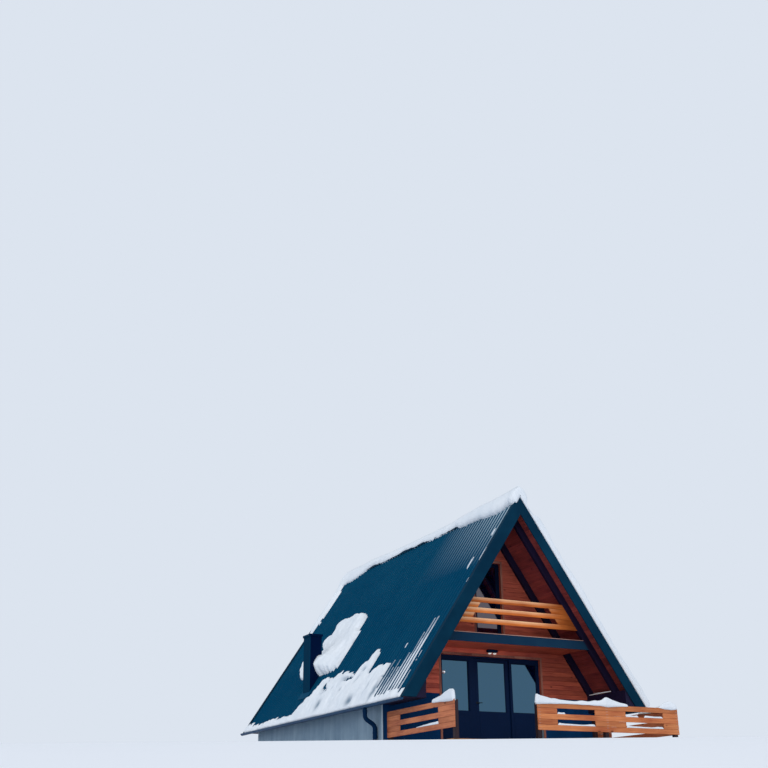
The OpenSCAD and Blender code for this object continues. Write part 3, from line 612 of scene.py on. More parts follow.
screw_rows, given = node_rows("screw_rows", "Screws driven", {
    "Screw": "Object", "Rows": "Int", "Row step": "Vector", "Screws in a row": "Int", "Screw step": "Vector",
    "First screw": "Vector", "Turn": "Vector", "Finish": "Material"})
rows_line = add(screw_rows, "GeometryNodeMeshLine", Count=given["Rows"], Start_Location=given["First screw"],
                Offset=given["Row step"])
one_row = add(screw_rows, "GeometryNodeMeshLine", Count=given["Screws in a row"], Offset=given["Screw step"])
grid = add(screw_rows, "GeometryNodeInstanceOnPoints", Points=rows_line, Instance=one_row)
spots = add(screw_rows, "GeometryNodeRealizeInstances", grid)
shape = add(screw_rows, "GeometryNodeObjectInfo", Object=given["Screw"]).outputs["Geometry"]
spin = add(screw_rows, "FunctionNodeRandomValue", Min=(0, 0, 0), Max=(0, 0, 6.28), Seed=7,
           data_type="FLOAT_VECTOR")
driven = add(screw_rows, "GeometryNodeInstanceOnPoints", Points=spots, Instance=shape,
             Rotation=given["Turn"])
turned_in = add(screw_rows, "GeometryNodeRotateInstances", Instances=driven, Rotation=spin)
solid = add(screw_rows, "GeometryNodeRealizeInstances", turned_in)
coated = add(screw_rows, "GeometryNodeSetMaterial", Geometry=solid, Material=given["Finish"])
add(screw_rows, "NodeGroupOutput", coated)


def screws(screw, finish, first, rows, row_step, in_row, step, turn=(0, 0, 0)):
    """Rows of screws from the first one on, each turned by chance about its own length."""
    return grow(screw_rows, {"Screw": screw, "Rows": rows, "Row step": row_step, "Screws in a row": in_row,
                             "Screw step": step, "First screw": first, "Turn": turn, "Finish": finish})


roof_screw = screw_shape("roof_screw", 0.0065, 0.0115, 0.009)
screw_paint = coated_steel("teal_capped_screw", "05405D", "0D4863", gloss=0.03)
from_ridge, row_apart, screw_lines = 0.30, 0.76, 8
driven_rows = []
for side in (-1, 1):
    down = Vector((side * math.cos(slope), 0, -math.sin(slope)))
    first = Vector((0, first_rib + rib_pitch, ridge_z)) + down * from_ridge
    driven_rows.append(screws(roof_screw, screw_paint, first, screw_lines, down * row_apart,
                              rib_count - 2, (0, rib_pitch, 0), (0, side * slope, 0)))
piece("roof_screws", joined(driven_rows), screw_paint)

# Gutters. Half-round steel gutters with a rolled front bead hang in strap
# brackets under the sheet, with stop ends and a joint band at every length.
gutter_x, gutter_z, gutter_r, gutter_wall = 3.295, 1.215, 0.052, 0.003
gutter_y0, gutter_y1, stop_t, bead_r = -4.284, 5.766, 0.004, 0.009
band_wall, band_apart, band_half, band_count = 0.0025, 2.01, 0.03, 4
strap_w, strap_count, first_strap, last_strap = 0.028, 12, 0.2, 0.23


def half_round(radius, turns=18):
    """Points round the lower half of a circle."""
    angles = [math.pi + math.pi * i / turns for i in range(turns + 1)]
    return [(radius * math.cos(a), radius * math.sin(a)) for a in angles]


def bowl(radius, wall):
    """The outline of an open half round of the given wall."""
    return half_round(radius) + half_round(radius - wall)[::-1]


rolled = [(gutter_r - bead_r + x, z) for x, z in circle(bead_r, 12)]
hook = [(-gutter_r - gutter_wall, 0.0), (-gutter_r, -0.004), (-0.082, 0.025), (-0.100, 0.025)]
lengths = [(bowl(gutter_r, gutter_wall), gutter_y0, gutter_y1),
           (rolled, gutter_y0 + 0.001, gutter_y1 - 0.001)]
for y in (gutter_y0, gutter_y1 - stop_t):
    lengths.append((half_round(gutter_r), y, y + stop_t))
for i in range(band_count):
    y = gutter_y0 + band_apart * (i + 1)
    lengths.append((bowl(gutter_r + band_wall, band_wall), y - band_half, y + band_half))
for i in range(strap_count):
    y = gutter_y0 + first_strap + i * (gutter_y1 - gutter_y0 - first_strap - last_strap) / (strap_count - 1)
    for outline in (bowl(gutter_r + gutter_wall, gutter_wall), hook):
        lengths.append((outline, y, y + strap_w))
gutter_cuts = []
for side in (-1, 1):
    for outline, y0, y1 in lengths:
        placed = [(side * (gutter_x + x), y0, gutter_z + z) for x, z in outline]
        gutter_cuts.append((placed, (0, y1 - y0, 0)))
gutter_paint = coated_steel("coil_coated_grey_gutter", "12385A", "22486A", rough=0.42, gloss=0.12)
piece("gutter_runs", boards(gutter_cuts, 0), gutter_paint, stands_for=["gutters"])

# Downpipes. A swan neck brings each pipe from the gutter outlet back to the
# wall, where two clips hold it; the elbows have swaged collars.
pipe_y, pipe_r, pipe_x, bend_r = -2.474, 0.050, 3.045, 0.085
outlet_z, neck_top, neck_foot, pipe_foot = 1.1625, 0.938, 0.793, 0.060
collar_places, clip_heights = ((gutter_x, 1.100), (pipe_x, 0.640)), (0.212, 0.545)


def tube(path, radii):
    """A round tube along a smooth path in the XZ plane, with closed ends and a radius at each point."""
    rings = []
    for i, (point, radius) in enumerate(zip(path, radii)):
        along = (Vector(path[min(i + 1, len(path) - 1)]) - Vector(path[max(i - 1, 0)])).normalized()
        beside = Vector((0, 1, 0))
        other = along.cross(beside)
        rings.append([Vector(point) + beside * c + other * s for c, s in circle(radius)])
    return ringed(rings)


def rounded_path(corners, radius, steps=8):
    """A path through corner points with each inner corner turned on an arc."""
    corners = [Vector(corner) for corner in corners]
    path = [corners[0]]
    for a, b, c in zip(corners, corners[1:], corners[2:]):
        start, end = b + (a - b).normalized() * radius, b + (c - b).normalized() * radius
        for t in [i / steps for i in range(steps + 1)]:
            path.append(start * (1 - t) ** 2 + b * 2 * t * (1 - t) + end * t ** 2)
    return path + [corners[-1]]


def band(x, z, half, ease, thin, thick):
    """A band round the pipe, which thins out at its two edges."""
    path = [(x, pipe_y, z + d) for d in (-half, ease - half, half - ease, half)]
    return tube(path, [pipe_r + wall for wall in (thin, thick, thick, thin)])


pipe_parts = []
for side in (-1, 1):
    corners = [(side * x, pipe_y, z) for x, z in ((gutter_x, outlet_z), (gutter_x, neck_top),
                                                  (pipe_x, neck_foot), (pipe_x, pipe_foot))]
    path = rounded_path(corners, bend_r)
    pipe_parts.append(tube(path, [pipe_r] * len(path)))
    for x, z in collar_places:
        pipe_parts.append(band(side * x, z, 0.028, 0.006, 0.0005, 0.005))
    for z in clip_heights:
        pipe_parts.append(band(side * pipe_x, z, 0.013, 0.001, 0.002, 0.004))
        x0, x1 = sorted((side * (plinth_side + 0.001), side * (pipe_x - pipe_r + 0.002)))
        arm = block(x0, x1, pipe_y - 0.012, pipe_y + 0.012, z - 0.01, z + 0.01)
        pipe_parts.append(boards([arm], 0.002, 1))
pipe_paint = coated_steel("coil_coated_dark_downpipe", "04203F", "0A2A4A", rough=0.55, gloss=0.02)
piece("downpipe_runs", joined(pipe_parts), pipe_paint, stands_for=["downpipes"])

# Chimney. A casing of folded dark steel stands on the left slope, with a rain
# lip round its top, a folded apron where it passes the sheet and a low cowl.
# Its faces towards the front are painted darker, as painted shade
chimney_paint = coated_steel("coil_coated_dark_chimney_casing", "002B45", "02334D", gloss=0.01, painted_front_shade="021334")
dress(chimney_paint, ["chimney"], 0.004)
stack_low, stack_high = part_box("chimney")
rain_lip, apron_w, apron_t, over_sheet, seam_w = 0.025, 0.11, 0.004, 0.0015, 0.008
cx0, cx1, cy0, cy1 = (stack_low.x + rain_lip, stack_high.x - rain_lip, stack_low.y + rain_lip,
                      stack_high.y - rain_lip)


def on_roof(x, y):
    """A point on the left slope just above the rib tops."""
    return (x - over_sheet * math.sin(slope), y, ridge_z + x * math.tan(slope) + over_sheet * math.cos(slope))


apron = []
for x0, x1, y0, y1 in ((cx0 - apron_w, cx0, cy0 - apron_w, cy1 + apron_w), (cx0, cx1, cy0 - apron_w, cy0),
                       (cx1, cx1 + apron_w, cy0 - apron_w, cy1 + apron_w), (cx0, cx1, cy1, cy1 + apron_w)):
    corners = [on_roof(x, y) for x, y in ((x0, y0), (x1, y0), (x1, y1), (x0, y1))]
    apron.append((corners, Vector((-math.sin(slope), 0, math.cos(slope))) * apron_t))
for x in (cx0, cx1):
    for y in (cy0, cy1):
        foot = ridge_z + x * math.tan(slope) + 0.02
        apron.append(block(x - seam_w / 2, x + seam_w / 2, y - seam_w / 2, y + seam_w / 2, foot,
                           stack_high.z - 0.060))
piece("chimney_apron", boards(apron, 0.001, 1), roof_paint)

# Balcony. Five pine boards cross the opening between the rafters; the second and
# fourth are cut away to leave two long slots with slanted ends.
# The upper half of each board is painted lighter, as painted highlight, and the boards grow darker towards
# their right end
rail_pine = stained_wood("oiled_pine_rail_boards", "E07F3A", "A8501E", "X", board=0.12, first=3.010,
                         knots=0.75, spread=0.10, painted_crest_light="F6C79C", shades=[("X", 0.7, 1.5, 1.0, 0.52)])
balcony_low, balcony_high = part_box("balcony_rail")
board_h, solid_end, gap = 0.120, 0.470, 0.003
rail_courses, cut_courses = 5, (1, 3)
batten_w, batten_t, batten_in = 0.07, 0.03, 0.02


def roof_x(z, depth):
    """Half width inside the roof at a height, at a depth under the rib tops."""
    return (ridge_z - depth / math.cos(slope) - z) / math.tan(slope)


def slanted(side, x0, x1, width, y, z0, z1):
    """The outline of a board that follows the roof, from its half widths at its foot and its top."""
    return [(side * x0, y, z0), (side * (x0 - width), y, z0),
            (side * (x1 - width), y, z1), (side * x1, y, z1)]


balcony_cuts, batten_cuts = [], []
push = (0, balcony_high.y - balcony_low.y, 0)
for k in range(rail_courses):
    z0, z1 = balcony_low.z + k * board_h + gap / 2, balcony_low.z + (k + 1) * board_h - gap / 2
    x0, x1 = roof_x(z0, rafter_depth + 0.001), roof_x(z1, rafter_depth + 0.001)
    y = balcony_low.y
    if k in cut_courses:
        balcony_cuts += [(slanted(side, x0, x1, solid_end, y, z0, z1), push) for side in (-1, 1)]
    else:
        balcony_cuts.append(([(-x0, y, z0), (x0, y, z0), (x1, y, z1), (-x1, y, z1)], push))
piece("balcony_boards", boards(balcony_cuts, 0.004), rail_pine, stands_for=["balcony_rail"])
z0, z1 = balcony_low.z + 0.01, balcony_high.z - 0.01
x0, x1 = roof_x(z0, rafter_depth) - batten_in, roof_x(z1, rafter_depth) - batten_in
for side in (-1, 1):
    batten_cuts.append((slanted(side, x0, x1, batten_w, balcony_high.y + 0.0005, z0, z1), (0, batten_t, 0)))
piece("balcony_battens", boards(batten_cuts), rail_pine)
fascia_low, fascia_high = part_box("balcony_fascia")
strip_foot, strip_top = fascia_high.z + 0.001, fascia_high.z + 0.013
edge_x = roof_x(fascia_high.z + 0.012, rafter_depth) - 0.004
edge_strip = block(-edge_x, edge_x, fascia_low.y - 0.012, fascia_high.y + 0.05, strip_foot, strip_top)
edge_wood = stained_wood("frosted_pine_edge_strip", "C8A49A", "9C7268", "X", board=0.5, knots=0.3)
piece("balcony_edge_strip", boards([edge_strip]), edge_wood)

# Terrace deck. Planed boards with eased edges are screwed down to joists, which
# lie on bearers on the ground.
deck_pitch, deck_face, deck_thick, deck_count = 0.146, 0.140, 0.028, 20
deck_pine = stained_wood("weathered_pine_deck_boards", "B98A5E", "8A5F3C", "X", stack="Y", board=deck_pitch,
                         first=-5.663)
joist_wood = stained_wood("treated_joist_softwood", "8C6B4A", "614630", "Y", board=0.3)
bearer_wood = stained_wood("treated_bearer_softwood", "7C5F43", "57402D", "X", board=0.3)
dress(joist_wood, ["terrace_joists"], 0.003)
dress(bearer_wood, ["terrace_bearers"], 0.003)
deck_low, deck_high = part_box("terrace_boards")
plank = board_shape(deck_face, deck_thick, 0.004)
planks = courses(plank, deck_count, deck_pitch, (deck_low.x, deck_high.x), deck_pine)
lay = Matrix(((1, 0, 0), (0, 0, 1), (0, -1, 0))).to_4x4()
planks.transform(Matrix.Translation((0, deck_low.y, deck_low.z)) @ lay)
piece("deck_planks", planks, deck_pine, stands_for=["terrace_boards"])
# Stainless steel mirrors softly, with scuffs of about 11 mm
screw_steel = mottled("stainless_deck_screw", "8E9296", "BCC0C4", 90.0, 2.0, Metallic=1.0, Roughness=0.35)
deck_screw = screw_shape("deck_screw", 0.0035, 0.0045, 0.0015)
joist_w, joist_count = 0.060, 9
joist_step = (2 * deck_high.x - joist_w) / (joist_count - 1)
deck_rows = []
for inset in (0.025, 0.115):
    first = (deck_low.x + joist_w / 2, deck_low.y + inset, deck_high.z - 0.0003)
    deck_rows.append(screws(deck_screw, screw_steel, first, deck_count, (0, deck_pitch, 0), joist_count,
                            (joist_step, 0, 0)))
piece("deck_screws", joined(deck_rows), screw_steel)

# Terrace rails. Five courses of pine boards are screwed to posts; the second and
# fourth courses are cut away to leave slots.
course_h, rail_low = 0.112, 0.508
like_rail = {"board": course_h, "first": rail_low, "knots": 0.8, "spread": 0.12}
terrace_pine = stained_wood("oiled_pine_terrace_boards", "D08656", "9D5334", "X", **like_rail)
return_pine = stained_wood("oiled_pine_return_boards", "C87E58", "92503C", "Y", **like_rail)


def rail_boards(node, axis, slots):
    """Five courses of boards along an axis of a rail's box, where slots are gaps in two of them."""
    low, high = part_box(node)
    cuts = []
    for k in range(rail_courses):
        z0, z1 = rail_low + k * course_h + gap / 2, rail_low + (k + 1) * course_h - gap / 2
        stops = sum(slots, ()) if k in cut_courses else ()
        stops = (low[axis], *stops, high[axis])
        for a, b in zip(stops[::2], stops[1::2]):
            ends = (low.x, high.x, a, b) if axis else (a, b, low.y, high.y)
            cuts.append(block(*ends, z0, z1))
    return boards(cuts, 0.004)


front_low, front_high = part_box("rail_front")
slot_w, wide_slot_w = 0.982, 1.035
slot_a = front_low.x + 0.494
slot_b = slot_a + slot_w + 0.813
side_slot = (front_low.y + 0.660, front_low.y + 0.660 + 1.750)
front_slots = ((slot_a, slot_a + slot_w), (slot_b, slot_b + wide_slot_w))
for name, axis, slots, wood in (("front", 0, front_slots, terrace_pine),
                                ("left", 1, (side_slot,), return_pine),
                                ("right", 1, (side_slot,), return_pine)):
    piece("rail_boards_" + name, rail_boards("rail_" + name, axis, slots), wood,
          stands_for=["rail_" + name])
post_wood = stained_wood("dark_stained_post_softwood", "3A2A30", "211820", "Z", stack="X", board=0.5)
dress(post_wood, ["rail_posts"], 0.004)
rail_screw = screw_shape("rail_screw", 0.0045, 0.006, 0.002)
rail_rows = []
for x in (front_low.x + 0.03, front_low.x + 0.06, 0.910, 0.940, front_high.x - 0.06, front_high.x - 0.03):
    rail_rows.append(screws(rail_screw, screw_steel, (x, front_low.y + 0.0003, rail_low + 0.026),
                            rail_courses, (0, 0, course_h), 2, (0, 0, 0.06), (math.pi / 2, 0, 0)))
piece("rail_screws", joined(rail_rows), screw_steel)

# Door unit and windows. Dark navy plastic frames, welded at the corners, with
# clipped glazing beads and a thin rubber line round every pane.


def moulded_plastic(name, colour, worn, rough=0.42):
    """Foil-wrapped plastic profile: a fine emboss of about 2 mm, drawn at 8 mm, and slight fading."""
    return mottled(name, colour, worn, 2.5, 4.0, rough=(rough - 0.08, rough + 0.1),
                   relief=(120.0, 0.15, 0.0008), Specular_IOR_Level=0.07)


frame_foil = moulded_plastic("navy_foiled_window_plastic", "03183A", "051E44")
rubber = moulded_plastic("black_glazing_rubber", "05070C", "0B0E15", rough=0.7)
dress(frame_foil, ["door_frame", "side_lights", "door_leaf", "back_window_frames"], 0.004)
upper_foil = moulded_plastic("dark_foiled_window_plastic", "020F28", "031430")
dress(upper_foil, ["balcony_door_frame"], 0.004)


def pane_loop(x0, x1, z0, z1, y, out, width):
    """Four mitred strips round an opening in X and Z, standing out from y by out."""
    outer = [(x0, z0), (x1, z0), (x1, z1), (x0, z1)]
    inner = [(x0 + width, z0 + width), (x1 - width, z0 + width),
             (x1 - width, z1 - width), (x0 + width, z1 - width)]
    cuts = []
    for i in range(4):
        j = (i + 1) % 4
        cuts.append(([(x, y, z) for x, z in (outer[i], outer[j], inner[j], inner[i])], (0, out, 0)))
    return cuts


bead, line_w, line_t = 0.018, 0.005, 0.004


def glazed(name, panes, stand, body="cabin"):
    """Beads on both faces of each pane, and the rubber line inside the beads on its outer face."""
    loops, lines = [], []
    for x0, x1, z0, z1, inner_y, outer_y in panes:
        out = math.copysign(1, outer_y - inner_y)
        loops += pane_loop(x0, x1, z0, z1, outer_y, stand * out, bead)
        loops += pane_loop(x0, x1, z0, z1, inner_y, -stand * out, bead)
        lines += pane_loop(x0 + bead, x1 - bead, z0 + bead, z1 - bead, outer_y, line_t * out, line_w)
    piece(name + "glazing_beads", boards(loops, 0.002, 1), frame_foil, body)
    piece(name + "glazing_rubber", boards(lines, 0, 1), rubber, body)


light_low, light_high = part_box("side_light_glass")
post_low, post_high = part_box("door_frame")
upper_low, upper_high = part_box("balcony_door_frame")
leaf_low, leaf_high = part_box("door_glass")
light_edge, frame_w = 0.015, 0.070
side_panes = ((light_low.x, post_low.x - light_edge), (post_high.x + light_edge, light_high.x))
upper_pane = (upper_low.x + frame_w, upper_high.x - frame_w, upper_low.z + frame_w, upper_high.z - frame_w)
back_windows = ((-win_out, -win_in, win_low, win_top), (win_in, win_out, win_low, win_top),
                (-attic_half, attic_half, attic_low, attic_top))
fixed_faces, back_faces, leaf_faces = (-2.627, -2.651), (5.164, 5.188), (-2.607, -2.631)
fixed_panes = [(x0, x1, light_low.z, light_high.z, *fixed_faces) for x0, x1 in side_panes]
fixed_panes.append((*upper_pane, *fixed_faces))
for x0, x1, z0, z1 in back_windows:
    fixed_panes.append((x0 + frame_w, x1 - frame_w, z0 + frame_w, z1 - frame_w, *back_faces))
glazed("", fixed_panes, 0.022)
glazed("leaf_", [(leaf_low.x, leaf_high.x, leaf_low.z, leaf_high.z, *leaf_faces)], 0.014, "door")

panel_foot, panel_top, panel_faces = 0.420, 1.075, (-2.6935, -2.6885)
upper_panel_faces, leaf_panel_faces = (-2.6925, -2.6895), (-2.6535, -2.6490)
panels = [block(x0 + 0.023, x1 - 0.023, *panel_faces, panel_foot, panel_top) for x0, x1 in side_panes]
panels.append(block(upper_pane[0] - 0.03, upper_pane[1] + 0.03, *upper_panel_faces,
                    upper_pane[2] - 0.045, upper_pane[2] - 0.012))
piece("side_light_panels", boards(panels), frame_foil)
leaf_panel = block(leaf_low.x + 0.016, leaf_high.x - 0.016, *leaf_panel_faces, panel_foot + 0.035,
                   panel_top)
piece("door_leaf_panel", boards([leaf_panel]), frame_foil, "door")

# Glass. Coated double units: two panes reflect about an eighth of the pale
# surroundings, and the unlit rooms behind keep the rest of the glass nearly black.


def coated_glass(name, tint, dark, light):
    """Double glazing seen from outside: dark depth, a tinted reflection and faint waves in the panes."""
    return mottled(name, dark, light, 1.8, 2.0, relief=(1.8, 0.05, 0.002), Roughness=0.03, IOR=2.5,
                   Specular_Tint=linear(tint))


glass = coated_glass("coated_double_glazing", "9CDCFF", "000420", "020A2C")
dress(glass, ["side_light_glass", "door_glass"])
# The balcony door and the windows have plain panes with a greyer reflection
clear_glass = coated_glass("plain_double_glazing", "E1CFD3", "04051E", "070A26")
dress(clear_glass, ["upper_glass"])

# Trims, hinges and handle. Planed pine trims frame the doors and windows; the
# hinges are brushed stainless steel and the lever handle is dark anodised.
trim_wood = stained_wood("planed_pine_trim", "AE7868", "824C44", "Z", stack="X", board=0.3, knots=0.3)
dress(trim_wood, ["door_trims"], 0.004)
trim_w, trim_t, back_trims = 0.055, 0.018, []
for x0, x1, z0, z1 in back_windows:
    back_trims += pane_loop(x0 - trim_w, x1 + trim_w, z0 - trim_w, z1 + trim_w,
                            back_face + board_thick + 0.0005, trim_t, trim_w)
piece("back_window_trims", boards(back_trims), trim_wood)
# Brushed steel has fine lines along X that make its shine uneven, drawn at about 2 mm
brushed = mottled("brushed_stainless_fittings", "A4A8AC", "C9CCCF", 8.0, 3.0, rough=(0.25, 0.45),
                  drawn=(4.0, 60.0, 60.0), Metallic=1.0)
dress(brushed, ["door_hinges"])
lever_paint = coated_steel("anodised_dark_door_lever", "0A1626", "14233A", rough=0.4, gloss=0.3)
dress(lever_paint, ["door_handle"])

# Wall lamp. A dark steel hood is screwed to the boards over the doors, with two
# frosted plastic lenses under it, both lit.
dress(pipe_paint, ["wall_lamp"], 0.003)
lamp_x, lens_apart, lens_y = -0.065, 0.0675, -2.814
lenses = []
for x in (lamp_x - lens_apart, lamp_x + lens_apart):
    rings = ((2.4935, 0.012), (2.4945, 0.030), (2.502, 0.0395), (2.520, 0.0405))
    lenses.append(ringed([[(x + u, lens_y + v, z) for u, v in circle(r)] for z, r in rings]))
# Frosted plastic glows evenly, with a faint frost of about 17 mm and no mirror in it
frosted = mottled("frosted_lamp_lens", "E6E4DE", "F6F4F0", 60.0, 2.0, Roughness=0.5, Emission_Strength=0.55)
piece("lamp_lenses", joined(lenses), frosted)

# Wall box. A small steel cabinet for the supply, with a plain overlapping door
# and two hinge barrels.
box_paint = coated_steel("powder_coated_wall_box", "051A38", "0A2648", rough=0.5, gloss=0.08)
dress(box_paint, ["wall_box"], 0.006)
box_low, box_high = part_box("wall_box")
lid_in, barrel_h = 0.008, 0.04
lid = [block(box_low.x + 0.006, box_high.x - 0.006, box_low.y - 0.008, box_low.y - 0.0005,
             box_low.z + lid_in, box_high.z - lid_in)]
for z in (box_low.z + 0.05, box_high.z - 0.09):
    lid.append(block(box_low.x - 0.006, box_low.x + 0.004, box_low.y - 0.012, box_low.y - 0.002,
                     z, z + barrel_h))
piece("wall_box_door", boards(lid), box_paint)

# Thermometer. A small round dial in a polished steel case is screwed to the left
# jamb of the doors at eye level. It mirrors the bright surroundings, with a
# haze of about 25 mm from handling.
dial_steel = mottled("polished_steel_dial_case", "E6EDF3", "F4F7FA", 40.0, 3.0, Roughness=0.14, Metallic=1.0)
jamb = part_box("side_lights")[0]
dial_x, dial_y, dial_z = jamb.x + 0.100, jamb.y - 0.0005, 2.03
rings = ((0.0, 0.038), (0.014, 0.040), (0.020, 0.038), (0.020, 0.033), (0.0165, 0.031), (0.016, 0.002))
dial = ringed([[(dial_x + u, dial_y - out, dial_z + v) for u, v in circle(r)] for out, r in rings])
piece("thermometer", dial, dial_steel)

# Snow. It covers the right slope and the ridge, slides down the left slope to a
# drift along the eave with streaks left in the pans, and caps the rails.


def lumps(u, v, size, seed):
    """Smooth seeded noise from 0 to 1 with lumps of the given size in metres."""
    table = np.random.default_rng(seed).random((256, 256))
    u, v = np.asarray(u) / size, np.asarray(v) / size
    i, j = np.floor(u).astype(int), np.floor(v).astype(int)
    a, b = u - i, v - j
    a, b = a * a * (3 - 2 * a), b * b * (3 - 2 * b)
    low = table[i % 256, j % 256] * (1 - a) + table[(i + 1) % 256, j % 256] * a
    high = table[i % 256, (j + 1) % 256] * (1 - a) + table[(i + 1) % 256, (j + 1) % 256] * a
    return low * (1 - b) + high * b


def sway(u, v, size, seed, amount):
    """The same noise about zero, over a range of the given amount."""
    return (lumps(u, v, size, seed) - 0.5) * amount


def ramp(value, start, end):
    """From 0 at the start to 1 at the end, and level beyond them."""
    return np.clip((value - start) / (end - start), 0, 1)


def swell(inside, depth, edge, outside):
    """Snow that rises from its edge to its full depth over a short way."""
    return np.where(inside > 0, depth * (1 - np.exp(-np.maximum(inside, 0) / edge)), outside)


def shell(top, bottom, keep, thin=None):
    """A closed skin between two grids of points over the cells that are kept, and how thin it is there."""
    rows, columns = keep.shape
    number = np.arange((rows + 1) * (columns + 1)).reshape(rows + 1, columns + 1)
    base = number.size
    faces = []
    padded = np.pad(keep, 1)
    for i, j in np.argwhere(keep):
        a, b, c, d = number[i, j], number[i + 1, j], number[i + 1, j + 1], number[i, j + 1]
        faces += [(a, b, c, d), (base + d, base + c, base + b, base + a)]
        for beyond, p, q in ((padded[i + 1, j], b, a), (padded[i + 1, j + 2], d, c),
                             (padded[i, j + 1], a, d), (padded[i + 2, j + 1], c, b)):
            if not beyond:
                faces.append((p, q, base + q, base + p))
    points = np.concatenate([top.reshape(-1, 3), bottom.reshape(-1, 3)])
    used = np.unique(np.array(faces))
    order = np.full(len(points), -1)
    order[used] = np.arange(len(used))
    mesh = bpy.data.meshes.new("skin")
    mesh.from_pydata(points[used].tolist(), [], [tuple(order[k] for k in f) for f in faces])
    mesh.shade_smooth()
    made = bmesh.new()
    made.from_mesh(mesh)
    bmesh.ops.recalc_face_normals(made, faces=made.faces[:])
    made.to_mesh(mesh)
    made.free()
    if thin is not None:
        values = np.concatenate([thin.ravel(), thin.ravel()])[used]
        mesh.attributes.new("thin", "FLOAT", "POINT").data.foreach_set("value", values.astype(np.float32))
    return mesh


def slope_points(y, t, h):
    """Points at a distance t down the left slope and a height h over the rib tops."""
    x = t * math.cos(slope) + h * math.sin(slope)
    z = ridge_z - t * math.sin(slope) + h * math.cos(slope)
    return np.stack([-x, y, z], axis=-1)


# Settled snow is matt, with lumps of about 600 mm and crumbs of about 26 mm, and its hollows are painted
# bluish, as painted shade.
# Where the skin is thin the dark sheet shows through it as a blue grey.
snow, tree, shader, place = finish("settled_snow", Roughness=0.75, Specular_IOR_Level=0.2)
slow = add(tree, "TexNoise", Vector=place, Scale=1.6, Detail=5.0, Roughness=0.6)
fine = add(tree, "TexNoise", Vector=place, Scale=38.0, Detail=4.0, Roughness=0.7)
# Where the bump sinks the tone is painted bluer, as painted shade
tone = add(tree, "Mix", slow, linear("D0DBE8"), linear("ECF1F8"), data_type="RGBA")
thin_skin = add(tree, "Attribute", attribute_name="thin").outputs["Fac"]
tone = add(tree, "Mix", thin_skin, tone, linear("4D6C86"), data_type="RGBA")
height = add(tree, "Math", slow, fine, operation="ADD")
bump = add(tree, "Bump", Height=height, Strength=0.6, Distance=0.02)
feed(tree, shader, Base_Color=tone, Normal=bump)

# The drift. Back is the distance behind the front verge, T the distance down from
# the ridge, and H the depth of the snow over the rib tops.
verge, rib_h, cell, snow_foot = -4.284, 0.025, 0.022, slope_length + 0.012
Y, T = np.meshgrid(np.arange(-4.146, 5.640, cell), np.arange(0.20, snow_foot, cell), indexing="ij")
back = Y - verge
jag = sway(Y, T, 0.30, 1, 0.12) + sway(Y, T, 0.13, 2, 0.14) + sway(Y, T * 0.35, 0.06, 3, 0.16)
drift_top = np.interp(back, [0.0, 0.35, 1.0, 1.74, 1.86, 1.95, 2.13, 2.40, 2.56, 2.66, 2.82, 2.94, 3.02,
                             3.12, 3.28, 3.45, 3.53, 3.65, 4.18, 4.60, 4.82, 5.00, 5.24, 5.50, 5.72, 5.84,
                             5.95, 6.16, 6.45, 6.74, 7.41, 8.88, 10.0],
                      [5.72, 5.66, 5.62, 5.56, 4.72, 4.60, 4.72, 4.64, 4.72, 4.86, 4.88, 4.42, 4.14, 4.18,
                       4.34, 4.40, 4.60, 4.80, 4.64, 4.58, 4.54, 4.56, 4.56, 4.58, 4.56, 4.74, 4.93, 5.14,
                       5.44, 5.58, 5.62, 5.58, 5.62])
inside = T - drift_top - jag
rough_top = sway(Y, T * 0.22, 0.10, 4, 0.030) + sway(Y, T, 0.09, 5, 0.022)
deep = np.clip(0.075 + 0.055 * lumps(Y, T, 0.6, 6) + rough_top, 0.035, 0.15)
H = swell(inside, deep, 0.09, inside * 0.12)
rounded_foot = np.sqrt(np.clip(1 - (1 - ramp(T, snow_foot, snow_foot - 0.045)) ** 2, 0.04, 1))
worn_edge = np.interp(T, [5.45, slope_length], [1.0, 0.55])
H = np.where(H > 0, H * worn_edge * rounded_foot, H)
thin = np.zeros_like(H)
# In a few listed spots the drift is sunk and painted greyer, and in a few places gone
for t_hole, back_hole, t_size, back_size, depth, grey in (
        (5.07, 5.12, 0.07, 0.14, 0.200, 0.95), (4.85, 5.34, 0.13, 0.14, 0.200, 0.85),
        (4.84, 4.02, 0.06, 0.26, 0.200, 0.80), (5.63, 2.96, 0.13, 0.16, 0.030, 0.85),
        (5.53, 4.91, 0.14, 0.12, 0.030, 0.85), (5.50, 1.80, 0.26, 0.06, 0.040, 0.85),
        (4.68, 3.22, 0.05, 0.10, 0.080, 0.75), (4.74, 2.80, 0.06, 0.10, 0.080, 0.70),
        (5.06, 4.57, 0.04, 0.05, 0.040, 0.60), (5.20, 3.95, 0.05, 0.08, 0.040, 0.50),
        (4.95, 3.30, 0.16, 0.05, 0.030, 0.40), (5.28, 2.30, 0.22, 0.04, 0.030, 0.45)):
    hole = np.exp(-((T - t_hole) / t_size) ** 2 - ((back - back_hole) / back_size) ** 2)
    H = H - depth * hole * (H > 0.03)
    thin = np.maximum(thin, grey * hole)

